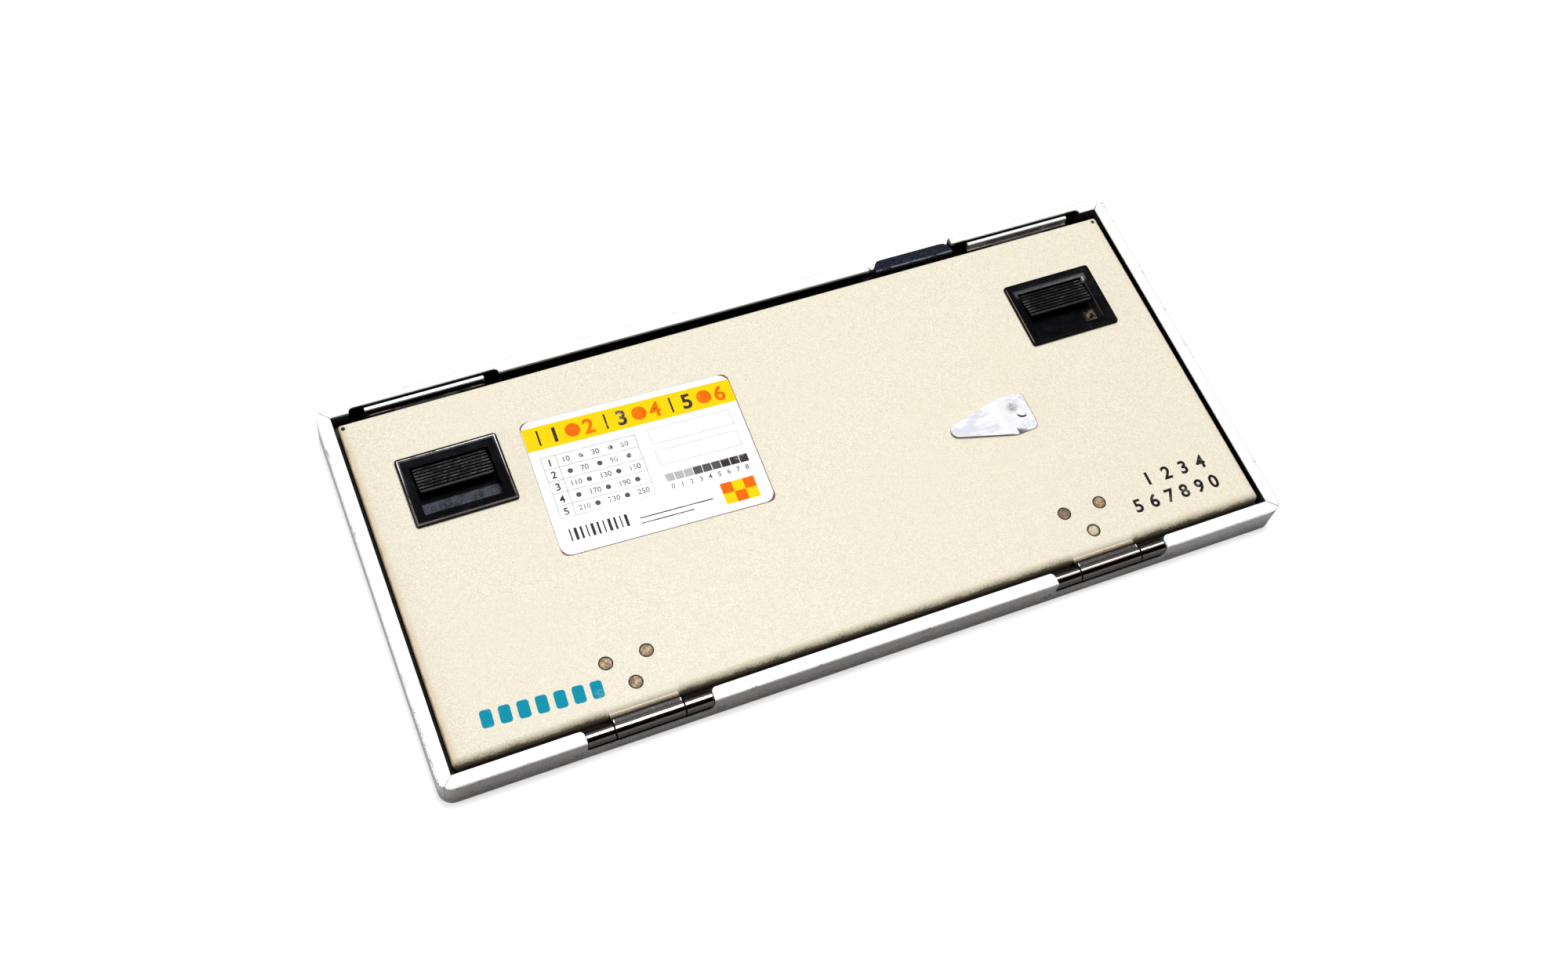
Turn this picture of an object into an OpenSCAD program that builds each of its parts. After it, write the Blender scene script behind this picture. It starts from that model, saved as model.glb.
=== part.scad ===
// Flat x-ray film cassette: a mitred frame with a front panel, a hinged back lid
// that carries the film pack, two recessed slide latches and a swivelling pointer.
// X runs along the length, Y from the hinge side to the latch side, and Z up.
// The frame stands on z = 0 and is centred on x = y = 0. Rest is the closed lid,
// with both latch bolts drawn just clear of the frame's lip.

/* [Film pack] */
// Length of the film
film_l = 305; // [250:1:430]
// Width of the film
film_w = 127; // [101:1:240]
// Slack left for the film between the screens
film_gap = 0.3; // [0.2:0.05:0.6]
// Thickness of each intensifying screen
screen_t = 0.4; // [0.3:0.05:0.6]
// Thickness of the pressure pad
pad_t = 2.4; // [1.6:0.1:4]
// Thickness of the lead foil
foil_t = 0.25; // [0.1:0.05:0.5]
// Thickness of the front panel
panel_t = 1.2; // [0.8:0.1:2]
// Width of the felt light seal
felt_w = 2; // [1:0.1:2.2]

/* [Case] */
// Distance from the film's short edges to the ends of the case
end_margin = 12.5; // [11:0.1:20]
// Distance from the film's long edges to the sides of the case
side_margin = 14.2; // [12.8:0.1:20]
// Radius of the case's outer corners
corner_r = 5.5; // [2:0.1:5.6]

/* [Frame rails] */
// Thickness of the rail's outer wall
wall_t = 1.8; // [1.7:0.05:2.2]
// Width of the rail's top lip, from the outer face
lip_w = 5.2; // [4.8:0.1:5.6]
// Thickness of the top lip
lip_t = 1.4; // [1:0.1:1.8]
// Width of the bottom flange, from the outer face
flange_w = 7; // [5:0.1:8]
// Thickness of the bottom flange
flange_t = 0.8; // [0.6:0.05:1.2]
// Width of the ledge over the front panel, from the outer face
ledge_w = 8; // [7.6:0.1:9]
// Thickness of the ledge
ledge_t = 1.4; // [0.8:0.1:1.8]
// Rounding of the rail's top outer edge
edge_r = 0.8; // [0.3:0.1:1.2]
// Height of the line that runs round the outer wall
line_z = 6.1; // [5.8:0.1:7]
// Depth of that line
line_d = 0.3; // [0.1:0.05:0.5]
// Gap in each mitre joint
mitre_gap = 0.12; // [0.05:0.01:0.3]
// Length of a corner key's legs
key_leg = 10; // [6:0.5:11]
// Thickness of a corner key's legs
key_t = 2.8; // [2:0.1:3.2]

/* [Lid] */
// Space inside the lid, from the liner to the sheet
lid_space = 4.45; // [4:0.05:6]
// Depth of the lid's outer face below the frame's top
lid_recess = 1.2; // [1:0.05:1.5]
// Thickness of the lid's sheet
sheet_t = 1; // [0.8:0.1:1.2]
// Thickness of the inner liner plate
liner_t = 0.8; // [0.6:0.1:1]
// Gap between the lid and the lip at each short side
gap_end = 1.4; // [1:0.1:2.5]
// Gap between the lid and the lip along the latch side
gap_far = 3.3; // [3:0.1:4]
// Gap between the lid and the lip along the hinge side
gap_near = 2.3; // [2.2:0.1:3]
// Outer radius of the roll along the hinge side
roll_r = 3.5; // [2:0.1:4]
// Outer radius of the lid's other edges
fold_r = 0.8; // [0.4:0.1:0.9]
// Radius of the lid's corners seen from above
lid_corner_r = 2; // [1.2:0.1:4]
// Radius of the relief hole at each latch-side corner
relief_r = 0.8; // [0.5:0.1:1]

/* [Hinges] */
// Distance of each hinge's middle from the end of the case
hinge_end = 74.4; // [70:0.2:100]
// Outer radius of the knuckles
knuckle_r = 2.9; // [2.6:0.05:3]
// Depth of the knuckles below the frame's top
knuckle_drop = 0.6; // [0.4:0.05:0.8]
// Radius of the hinge pin
pin_r = 1.5; // [1.2:0.05:1.7]
// Length of the lid's middle knuckle
mid_l = 25.2; // [18:0.2:30]
// Length of each outer knuckle
side_l = 10.1; // [7:0.1:12]
// Thickness of the hinge leaves
leaf_t = 1.2; // [0.8:0.1:1.3]
// Length of the lid leaf beyond its last rivets
leaf_end = 4.4; // [3:0.1:6]
// Reach of the lid leaf's raised shoulder beyond the hinge axis
shoulder_w = 2.9; // [2:0.1:3]
// Drop of that shoulder below the top of the knuckle
shoulder_drop = 0.2; // [0.1:0.05:0.5]
// Room under the knuckles in the frame's cut-out
cut_room = 1.2; // [0.8:0.1:1.4]
// Radius of the lip's corners beside a hinge cut-out
cut_lip_r = 2; // [1:0.1:2.4]
// Spacing of the two inner lid rivets along the hinge
rivet_dx = 15; // [12:0.5:17]
// Distance of the outer lid rivet from the hinge axis
rivet_y1 = 13.5; // [10:0.5:14]
// Distance of the two inner lid rivets from the hinge axis
rivet_y2 = 23.4; // [21:0.2:23.6]
// Radius of the lid rivet heads
rivet_r = 2.6; // [2:0.1:2.8]
// Radius of the lid rivet shanks
shank_r = 1.5; // [1:0.1:1.7]
// Radius of the dowels in the frame
dowel_r = 1.2; // [0.8:0.05:1.3]
// Metal left round each dowel
dowel_land = 1.6; // [1.3:0.1:2]

/* [Latches] */
// Distance of each latch's middle from the end of the case
latch_end = 40.6; // [38:0.2:46]
// Distance of the housing's middle from the latch side of the case
latch_inset = 43.9; // [41:0.1:52]
// Length of the housing's bezel
bezel_l = 38.2; // [36:0.2:42]
// Width of the housing's bezel
bezel_w = 28.9; // [28:0.1:31]
// Radius of the bezel's corners
bezel_r = 1.2; // [0.6:0.1:1.3]
// Width of the bezel's flat rim
rim_w = 1.1; // [0.7:0.1:1.3]
// Width of the slope inside the rim
slope_w = 3.3; // [2:0.1:3.6]
// Drop of that slope
slope_h = 0.9; // [0.6:0.1:1.7]
// Thickness of the housing's floor and far wall
shell_t = 0.7; // [0.5:0.05:0.75]
// Gap between the thumb piece and each end of its well
thumb_side = 0.9; // [0.4:0.1:1.5]
// Width of the thumb piece
thumb_w = 11.7; // [9:0.1:12]
// Radius of the thumb piece's corners over the finger space
thumb_r = 1.2; // [0.8:0.1:1.5]
// Depth of the thumb piece's ridge below the bezel's rim
thumb_drop = 0.6; // [0.4:0.05:1]
// Fall of the ribbed face from the ridge to its far end
thumb_fall = 2.3; // [2.2:0.1:2.8]
// Number of ribs on the thumb piece
rib_n = 7; // [5:1:12]
// Height of the ribs
rib_h = 0.3; // [0.2:0.05:0.4]
// Travel from rest to locked
lock_travel = 1.6; // [1.3:0.05:1.7]
// Travel from rest to fully drawn back
back_travel = 2.4; // [2:0.1:2.6]
// Width of the bolt's plate
bolt_l = 24; // [18:0.5:25]
// Thickness of the bolt's plate
bolt_t = 1; // [0.8:0.05:1.1]
// Length of the bolt's nose bar
nose_l = 45.4; // [40:0.2:47]
// Thickness of the nose bar
nose_t = 1.45; // [1.2:0.05:1.5]
// Length of each lip cut-out
slot_l = 57; // [56:0.5:60]
// Radius of the cut-outs' corners
slot_r = 1.8; // [1:0.1:2]
// Distance of the bolt guide beyond the housing
guide_y = 8; // [7:0.5:10]
// Width of the bolt guide
guide_w = 6; // [4:0.5:7]

/* [Lift tab] */
// Distance of the tab's middle from the right end of the case
tab_end = 87.9; // [86:0.1:100]
// Length of the tab
tab_l = 33.8; // [30:0.2:35]
// Gap at the tab's end towards the middle of the case
tab_gap_in = 2.7; // [1:0.1:3]
// Gap at the tab's end towards the right-hand latch
tab_gap_out = 0.4; // [0.3:0.1:1.2]
// Radius of the tab's outer corners
tab_r = 4.4; // [2:0.1:5]
// Depth of the tab's lip over its near side
tab_lip_h = 2.2; // [1.8:0.1:3]
// Setback of the near side under that lip
tab_setback = 1.4; // [0.8:0.1:2]
// Thickness of the tab's tongue
tongue_t = 1.8; // [1.2:0.1:2]
// Reach of the tongue under the lid
tongue_reach = 10; // [8:0.5:14]
// Radius of the tab's rivet heads
tab_rivet_r = 1.6; // [1.3:0.1:1.8]

/* [Label and pointer] */
// Length of the label
label_l = 81.7; // [60:0.1:90]
// Width of the label
label_w = 57.3; // [40:0.1:60]
// Thickness of the label
label_t = 0.15; // [0.1:0.05:0.3]
// Radius of the label's corners
label_r = 3; // [1:0.1:5]
// Distance of the label's middle from the left end of the case
label_end = 108.3; // [106:0.1:130]
// Distance of the label's middle from the latch side of the case
label_inset = 58.7; // [50:0.1:70]
// Turn of the label
label_turn = -2.1; // [-4:0.1:4]
// Distance of the pointer's pivot from the right end of the case
pivot_end = 78; // [76:0.2:90]
// Distance of the pointer's pivot from the latch side of the case
pivot_inset = 83.9; // [82:0.1:90]
// Radius of the pivot rivet's shank
pivot_r = 1.2; // [0.8:0.05:1.3]
// Radius of the pivot rivet's dome
dome_r = 1.9; // [1.6:0.05:2.2]
// Height of the dome
dome_h = 0.55; // [0.4:0.05:0.55]
// Reach of the pointer's tip from the pivot
tip_reach = 30.2; // [26:0.2:30.4]
// Radius of the tip
tip_r = 3; // [2:0.1:4]
// Reach of the pointer's head beyond the pivot
head_reach = 4; // [3.4:0.1:6]
// Width of the pointer where it is widest
head_w = 17.4; // [12:0.1:20]
// Taper of the head beyond its widest place, on each side
head_taper = 0.5; // [0:0.1:1.5]
// Radius of the head's corners
head_r = 2.2; // [1:0.1:3]
// Distance of the widest place from the pivot
wide_x = 5.8; // [4:0.1:8]
// Distance of the bend from the pivot
bend_x = 5.4; // [4.6:0.1:8]
// Thickness of the pointer
pointer_t = 0.5; // [0.4:0.05:0.5]
// Lift of the pointer's tip
pointer_lift = 0.55; // [0.3:0.05:0.6]

/* [Clearances] */
// Gap between pieces that are fixed together with a fastener or in a groove
fit_gap = 0.05; // [0.03:0.01:0.08]
// Gap over and under a sliding piece
slide_gap = 0.1; // [0.05:0.01:0.12]
// Gap between pieces that swing past each other
swing_gap = 0.3; // [0.25:0.05:0.4]

/* [Hidden] */
$fn = 64;
e = 0.01;

// overall sizes
case_l = film_l + 2 * end_margin;
case_w = film_w + 2 * side_margin;

// heights, from the underside up
panel_top = flange_t + panel_t;
ledge_top = panel_top + ledge_t;
film_z = panel_top + screen_t;
back_z = film_z + film_gap;
pad_z = back_z + screen_t;
foil_z = pad_z + pad_t;
liner_z = foil_z + foil_t;
liner_top = liner_z + liner_t;
floor_top = liner_top + shell_t;
bolt_z = floor_top + slide_gap;
bolt_top = bolt_z + bolt_t;
plate_bot = liner_top + lid_space;
plate_top = plate_bot + sheet_t;
case_h = plate_top + lid_recess;
lip_z = case_h - lip_t;
nose_top = lip_z - 2 * slide_gap;
nose_z = liner_top + swing_gap;
thumb_top = case_h - thumb_drop;
thumb_tail = thumb_top - thumb_fall;

// half sizes and edges in plan
hx = case_l / 2;
hy = case_w / 2;
pan_x = hx - lip_w - gap_end;
pan_far = hy - lip_w - gap_far;
pan_near = -(hy - lip_w - gap_near);
axis_y = -hy + knuckle_r;
axis_z = case_h - knuckle_drop - knuckle_r;
liner_x = hx - lip_w - 2.5 * swing_gap;
liner_far = hy - lip_w - 2.5 * swing_gap;
liner_near = axis_y + knuckle_r + 1.6 * swing_gap;
bore_r = pin_r + fit_gap;
hinge_x = hx - hinge_end;
hinge_half = mid_l / 2 + 0.2 + side_l;
cut_half = hinge_half + swing_gap;
cut_floor = axis_z - knuckle_r - cut_room;
dowel_x = cut_half + dowel_r + dowel_land;
dowel_z = ledge_top + dowel_land;
leaf_reach = rivet_y2 + leaf_end;
web_far = -hy + ledge_w - felt_w - 0.4;

// latch pieces
latch_x = hx - latch_end;
latch_y = hy - latch_inset;
body_l = bezel_l - 2.4;
body_w = bezel_w - 2.4;
well_l = bezel_l - 2 * (rim_w + slope_w);
well_w = bezel_w - 2 * (rim_w + slope_w);
thumb_l = well_l - 2 * thumb_side;
cavity_far = latch_y + body_w / 2 - shell_t;
thumb_far = cavity_far - lock_travel - swing_gap;
thumb_near = thumb_far - thumb_w;
nose_far = hy - wall_t - 1.5 * slide_gap - lock_travel;
nose_near = nose_far - nose_t;
foot_near = pan_far + back_travel + 2 * slide_gap;
slot_far = nose_far + swing_gap;
guide_near = latch_y + bezel_w / 2 + guide_y - 1.8;

// tab, label and pointer
tab_x = hx - tab_end;
label_x = -hx + label_end;
label_y = hy - label_inset;
pivot_x = hx - pivot_end;
pivot_y = hy - pivot_inset;
tab_far = hy - swing_gap;
tab_ridge = hy - lip_w - 2.3 * swing_gap;
tab_half = tab_l / 2;

// width of a small rivet's head round its shank
head_lip = 0.6;

function arc(cx, cy, r, a0, a1, n = 8) =
    [for (i = [0 : n]) let (a = a0 + (a1 - a0) * i / n) [cx + r * cos(a), cy + r * sin(a)]];

module rounded(l, w, r) {
    square([l - 2 * r, w], center = true);
    square([l, w - 2 * r], center = true);
    for (x = [-1, 1], y = [-1, 1]) translate([x * (l / 2 - r), y * (w / 2 - r)]) circle(r);
}

// extrudes a (y, z) outline along X, centred
module along_x(l) rotate([90, 0, 90]) linear_extrude(l, center = true) children();
// extrudes an (x, z) outline along Y, centred
module along_y(l) rotate([90, 0, 0]) linear_extrude(l, center = true) children();

module rail_profile() {
    polygon(concat(
        [[0.4, 0], [flange_w, 0], [flange_w, flange_t], [wall_t, flange_t],
         [wall_t, panel_top], [ledge_w, panel_top], [ledge_w, ledge_top],
         [wall_t, ledge_top], [wall_t, lip_z], [lip_w, lip_z],
         [lip_w, case_h - 0.2], [lip_w - 0.2, case_h]],
        arc(edge_r, case_h - edge_r, edge_r, 90, 180, 6),
        [[0, line_z + line_d], [line_d, line_z], [0, line_z - line_d], [0, 0.4]]));
}

module case_outline() linear_extrude(case_h) rounded(case_l, case_w, corner_r);

// long rail on the near side before its cut-outs; the far one is its mirror image
module long_rail() {
    m = ledge_w + 1;
    g = mitre_gap / 2 * sqrt(2);
    intersection() {
        translate([0, -hy, 0]) along_x(case_l) rail_profile();
        linear_extrude(case_h) polygon([[-hx + g, -hy], [hx - g, -hy],
            [hx - g - m, -hy + m], [-hx + g + m, -hy + m]]);
        case_outline();
    }
}

module short_rail() {
    m = ledge_w + 1;
    g = mitre_gap / 2 * sqrt(2);
    intersection() {
        translate([-hx, 0, 0]) along_y(case_w) rail_profile();
        linear_extrude(case_h) polygon([[-hx, -hy + g], [-hx + m, -hy + g + m],
            [-hx + m, hy - g - m], [-hx, hy - g]]);
        case_outline();
    }
}

// cut-out for one hinge, with rounded lower corners
module hinge_cut() {
    r = 1.6;
    d = lip_w + 2;
    translate([0, -hy - 1, 0]) {
        translate([-cut_half, 0, cut_floor + r]) cube([2 * cut_half, d, case_h]);
        translate([-cut_half + r, 0, cut_floor]) cube([2 * (cut_half - r), d, case_h]);
        for (s = [-1, 1]) translate([s * (cut_half - r), 0, cut_floor + r])
            rotate([-90, 0, 0]) cylinder(r = r, h = d);
        for (s = [0, 1]) mirror([s, 0, 0]) translate([cut_half, lip_w + 1, lip_z - 1])
            linear_extrude(lip_t + 2) difference() {
                translate([-1, -cut_lip_r]) square([cut_lip_r + 1, cut_lip_r + 1]);
                translate([cut_lip_r, -cut_lip_r]) circle(cut_lip_r);
            }
    }
}

module rail_hinge_side() {
    color([0.82, 0.83, 0.84]) difference() {
        long_rail();
        for (s = [-1, 1]) translate([s * hinge_x, 0, 0]) {
            hinge_cut();
            for (d = [-1, 1]) translate([d * dowel_x, -hy - 1, dowel_z])
                rotate([-90, 0, 0]) cylinder(r = dowel_r + fit_gap, h = wall_t + 2);
        }
    }
}

// cut-out in the lip where a bolt's nose shows
module lip_slot() {
    r = slot_r;
    inner = hy - lip_w - 1;
    translate([0, 0, lip_z - 1]) {
        translate([-slot_l / 2, inner, 0]) cube([slot_l, slot_far - inner - r, lip_t + 2]);
        translate([-slot_l / 2 + r, inner, 0]) cube([slot_l - 2 * r, slot_far - inner, lip_t + 2]);
        for (s = [-1, 1]) translate([s * (slot_l / 2 - r), slot_far - r, 0])
            cylinder(r = r, h = lip_t + 2);
    }
}

module rail_latch_side() {
    color([0.82, 0.83, 0.84]) difference() {
        mirror([0, 1, 0]) long_rail();
        for (s = [-1, 1]) translate([s * latch_x, 0, 0]) lip_slot();
        translate([tab_x - tab_half - tab_gap_in, hy - lip_w - 1, cut_floor])
            cube([tab_l + tab_gap_in + tab_gap_out, lip_w + 2, case_h]);
        // the right-hand slot runs into the tab's cut-out
        translate([tab_x, hy - lip_w - 1, lip_z - 1])
            cube([latch_x - slot_l / 2 + slot_r - tab_x, slot_far - hy + lip_w + 1, lip_t + 2]);
    }
}

module rail_left() color([0.8, 0.81, 0.82]) short_rail();
module rail_right() color([0.8, 0.81, 0.82]) mirror([1, 0, 0]) short_rail();

// an angle in each corner behind the walls, with its outer corner rounded as the case is
module corner_keys() {
    o = wall_t + fit_gap;
    h = lip_z - ledge_top;
    color([0.5, 0.5, 0.52]) intersection() {
        for (sx = [0, 1], sy = [0, 1])
            mirror([sx, 0, 0]) mirror([0, sy, 0]) translate([-hx + o, -hy + o, ledge_top]) {
                cube([key_leg, key_t, h]);
                cube([key_t, key_leg, h]);
            }
        linear_extrude(case_h) rounded(case_l - 2 * o, case_w - 2 * o, corner_r - o / 2);
    }
}

module front_panel() color([0.7, 0.71, 0.72]) translate([0, 0, flange_t])
    linear_extrude(panel_t)
        rounded(case_l - 2 * (wall_t + swing_gap), case_w - 2 * (wall_t + swing_gap), corner_r - wall_t);

module sheet_piece(z, t) translate([-film_l / 2, -film_w / 2, z]) cube([film_l, film_w, t]);

module front_screen() color([0.95, 0.95, 0.92]) sheet_piece(panel_top, screen_t);
module back_screen() color([0.95, 0.95, 0.92]) sheet_piece(back_z, screen_t);
module pressure_pad() color([0.2, 0.2, 0.21]) sheet_piece(pad_z, pad_t);
module lead_foil() color([0.42, 0.43, 0.46]) sheet_piece(foil_z, foil_t);

// four strips on the ledge, round the film pack
module felt_light_seal() {
    h = liner_z - swing_gap - ledge_top;
    o = ledge_w - felt_w;
    color([0.08, 0.08, 0.08]) for (s = [0, 1]) {
        mirror([0, s, 0]) translate([-hx + o, -hy + o, ledge_top])
            cube([case_l - 2 * o, felt_w, h]);
        mirror([s, 0, 0]) translate([-hx + o, -hy + ledge_w + fit_gap, ledge_top])
            cube([felt_w, case_w - 2 * (ledge_w + fit_gap), h]);
    }
}

// frame half of a hinge: two outer knuckles on a block dowelled behind the wall
module hinge_leaf_frame(s) {
    back = -hy + wall_t + fit_gap;
    half = dowel_x + dowel_r + dowel_land;
    color([0.33, 0.32, 0.32]) translate([s * hinge_x, 0, 0]) difference() {
        union() {
            translate([-half, back, ledge_top])
                cube([2 * half, 1.9, axis_z - knuckle_r - swing_gap - ledge_top]);
            for (d = [-1, 1]) translate([d * (hinge_half - side_l / 2), 0, 0]) {
                translate([-side_l / 2, back, ledge_top])
                    cube([side_l, web_far - back, axis_z - ledge_top]);
                translate([-side_l / 2, axis_y, axis_z]) rotate([0, 90, 0])
                    cylinder(r = knuckle_r, h = side_l);
            }
        }
        translate([-half - 1, axis_y, axis_z]) rotate([0, 90, 0]) cylinder(r = bore_r, h = 2 * half + 2);
        for (d = [-1, 1]) translate([d * dowel_x, -hy, dowel_z])
            rotate([-90, 0, 0]) cylinder(r = dowel_r + fit_gap, h = 8);
    }
}

module hinge_pin(s) color([0.55, 0.55, 0.56])
    translate([s * hinge_x - hinge_half + 0.1, axis_y, axis_z]) rotate([0, 90, 0])
        cylinder(r = pin_r, h = 2 * hinge_half - 0.2);

module hinge_dowels() color([0.7, 0.7, 0.7])
    for (s = [-1, 1], d = [-1, 1]) translate([s * hinge_x + d * dowel_x, -hy + 0.05, dowel_z])
        rotate([-90, 0, 0]) cylinder(r = dowel_r, h = wall_t + 1.8);

// lid half of a hinge: the middle knuckle and a leaf under the lid's sheet
module hinge_leaf_lid(s) color([0.33, 0.32, 0.32]) translate([s * hinge_x, axis_y, 0])
    difference() {
        union() {
            translate([-mid_l / 2, 0, axis_z]) rotate([0, 90, 0]) cylinder(r = knuckle_r, h = mid_l);
            translate([-mid_l / 2, bore_r + 0.5, plate_bot - leaf_t])
                cube([mid_l, leaf_reach - bore_r - 0.5, leaf_t]);
            translate([-mid_l / 2, 0, axis_z])
                cube([mid_l, shoulder_w, knuckle_r - shoulder_drop]);
        }
        translate([-mid_l / 2 - 1, 0, axis_z]) rotate([0, 90, 0]) cylinder(r = bore_r, h = mid_l + 2);
        rivet_places() translate([0, 0, plate_bot - leaf_t - 1])
            cylinder(r = shank_r + fit_gap, h = leaf_t + 2);
    }

// the three rivets of a hinge, measured from its axis
module rivet_places() {
    translate([0, rivet_y1, 0]) children();
    for (d = [-1, 1]) translate([d * rivet_dx / 2, rivet_y2, 0]) children();
}

module hinge_rivets() color([0.62, 0.52, 0.38])
    for (s = [-1, 1]) translate([s * hinge_x, axis_y, 0]) rivet_places() {
        translate([0, 0, plate_bot]) cylinder(r = rivet_r, h = sheet_t - 0.1);
        translate([0, 0, plate_bot - leaf_t - 0.2]) cylinder(r = shank_r, h = leaf_t + 0.3);
        translate([0, 0, plate_bot - leaf_t - 0.6]) cylinder(r = rivet_r - 0.3, h = 0.6);
    }

// the pan's outline across the case, with its rolled hinge-side edge
module pan_across(t) {
    r = roll_r - t;
    near = pan_near + t;
    far = pan_far - t;
    top = plate_top - t;
    z0 = liner_top - (t > 0 ? 1 : 0);
    f = max(fold_r - t, 0.05);
    translate([near + r, z0]) square([far - f - near - r, top - z0]);
    translate([near, z0]) square([far - near, top - r - z0]);
    translate([far - f - 1, z0]) square([f + 1, top - f - z0]);
    translate([near + r, top - r]) circle(r);
    translate([far - f, top - f]) circle(f);
}

// the pan's outline along the case
module pan_along(t) {
    x = pan_x - t;
    top = plate_top - t;
    z0 = liner_top - (t > 0 ? 1 : 0);
    f = max(fold_r - t, 0.05);
    translate([-x, z0]) square([2 * x, top - f - z0]);
    translate([-x + f, z0]) square([2 * (x - f), top - z0]);
    for (s = [-1, 1]) translate([s * (x - f), top - f]) circle(f);
}

module lid_pan() {
    mid = (pan_far + pan_near) / 2;
    long = 2 * pan_x + 2;
    color([0.93, 0.9, 0.82]) difference() {
        intersection() {
            along_x(2 * pan_x) pan_across(0);
            along_y(2 * case_w) pan_along(0);
            translate([0, mid, 0]) linear_extrude(case_h)
                rounded(2 * pan_x, pan_far - pan_near, lid_corner_r);
        }
        intersection() {
            along_x(long) pan_across(sheet_t);
            along_y(2 * case_w) pan_along(sheet_t);
        }
        // openings for the latch housings and the bolts
        for (s = [-1, 1]) translate([s * latch_x, 0, 0]) {
            translate([-body_l / 2 - fit_gap, latch_y - body_w / 2 - fit_gap, plate_bot - 1])
                cube([body_l + 2 * fit_gap, body_w + 2 * fit_gap, sheet_t + 2]);
            translate([-bolt_l / 2 - swing_gap, pan_far - sheet_t - 1, liner_top - 1])
                cube([bolt_l + 2 * swing_gap, sheet_t + 2, bolt_top + swing_gap - liner_top + 1]);
        }
        // rivet holes and the notch in the roll at each hinge
        for (s = [-1, 1]) translate([s * hinge_x, axis_y, 0]) {
            rivet_places() translate([0, 0, plate_bot - 1])
                cylinder(r = rivet_r + fit_gap, h = sheet_t + 2);
            translate([-mid_l / 2 - swing_gap, 0, liner_top - 1])
                cube([mid_l + 2 * swing_gap, pan_near + roll_r - axis_y, plate_bot - liner_top + 1]);
        }
        // notch for the tab's tongue
        translate([tab_x - tab_half, pan_far - sheet_t - 1, liner_top - 1])
            cube([tab_l, sheet_t + 2, tongue_t + swing_gap + 1]);
        // relief holes in the latch-side corners
        for (s = [-1, 1])
            translate([s * (pan_x - sheet_t - relief_r), pan_far - sheet_t - relief_r, plate_bot - 1])
                cylinder(r = relief_r, h = sheet_t + 2);
        // hole for the pointer's rivet
        translate([pivot_x, pivot_y, plate_bot - 1])
            cylinder(r = pivot_r + fit_gap, h = sheet_t + 2);
    }
}

module lid_liner() color([0.12, 0.12, 0.12]) difference() {
    translate([-liner_x, liner_near, liner_z]) cube([2 * liner_x, liner_far - liner_near, liner_t]);
    tab_rivet_places() translate([0, 0, liner_z - 1])
        cylinder(r = tab_rivet_r - head_lip + fit_gap, h = liner_t + 2);
}

// outline of the space over the slopes, from half width a at the well to b at the rim
module mouth_slope(a, b) polygon([[-a, case_h - slope_h - e], [a, case_h - slope_h - e],
    [b, case_h], [b, case_h + 1], [-b, case_h + 1], [-b, case_h]]);

// housing: bezel, slopes, well and floor
module latch_housing(s) {
    cavity_near = latch_y - well_w / 2;
    in_l = bezel_l / 2 - rim_w;
    in_w = bezel_w / 2 - rim_w;
    color([0.06, 0.06, 0.07]) translate([s * latch_x, 0, 0]) difference() {
        union() {
            translate([0, latch_y, plate_top]) linear_extrude(lid_recess - 0.15)
                rounded(bezel_l, bezel_w, bezel_r);
            translate([0, latch_y, plate_top]) linear_extrude(lid_recess)
                rounded(bezel_l - 0.3, bezel_w - 0.3, bezel_r - 0.15);
            translate([-body_l / 2, latch_y - body_w / 2, liner_top])
                cube([body_l, body_w, plate_top - liner_top]);
        }
        // sloped mouth
        intersection() {
            translate([0, latch_y, 0]) along_y(bezel_w) mouth_slope(well_l / 2, in_l);
            along_x(bezel_l) translate([latch_y, 0]) mouth_slope(well_w / 2, in_w);
        }
        // well, and the pocket under the far slope that the thumb piece moves into
        translate([-well_l / 2, cavity_near, floor_top])
            cube([well_l, well_w, case_h - floor_top - slope_h + e]);
        translate([-well_l / 2, cavity_near + 1, floor_top])
            cube([well_l, cavity_far - cavity_near - 1, thumb_tail + rib_h + 2.5 * swing_gap - floor_top]);
        // way out for the bolt
        translate([-bolt_l / 2 - slide_gap, cavity_far - 1, floor_top])
            cube([bolt_l + 2 * slide_gap, shell_t + 2, bolt_t + 2 * slide_gap]);
    }
}

// strap that holds the bolt's plate down on the liner
module bolt_guide(s) color([0.6, 0.6, 0.62]) translate([s * latch_x, guide_near, 0])
    difference() {
        translate([-bolt_l / 2 - 3, 0, liner_top])
            cube([bolt_l + 6, guide_w, shell_t + bolt_t + 2 * slide_gap + 0.8]);
        translate([-bolt_l / 2 - slide_gap, -1, floor_top])
            cube([bolt_l + 2 * slide_gap, guide_w + 2, bolt_t + 2 * slide_gap]);
    }

// leaf spring on the guide, bent down onto the bolt's plate
module detent_spring(s) {
    z = floor_top + bolt_t + 2 * slide_gap + 0.8;
    low = bolt_top + 0.02;
    t = 0.3;
    color([0.66, 0.67, 0.7]) translate([s * latch_x, guide_near, 0]) along_x(7)
        polygon([[guide_w - 0.5, z], [guide_w - 0.5, z + t], [0, z + t], [-4.2, low + t + 0.3],
            [-5, low + t], [-5.8, low + t + 0.4], [-5.8, low + 0.4], [-5, low], [-4.2, low + 0.3], [0, z]]);
}

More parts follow.
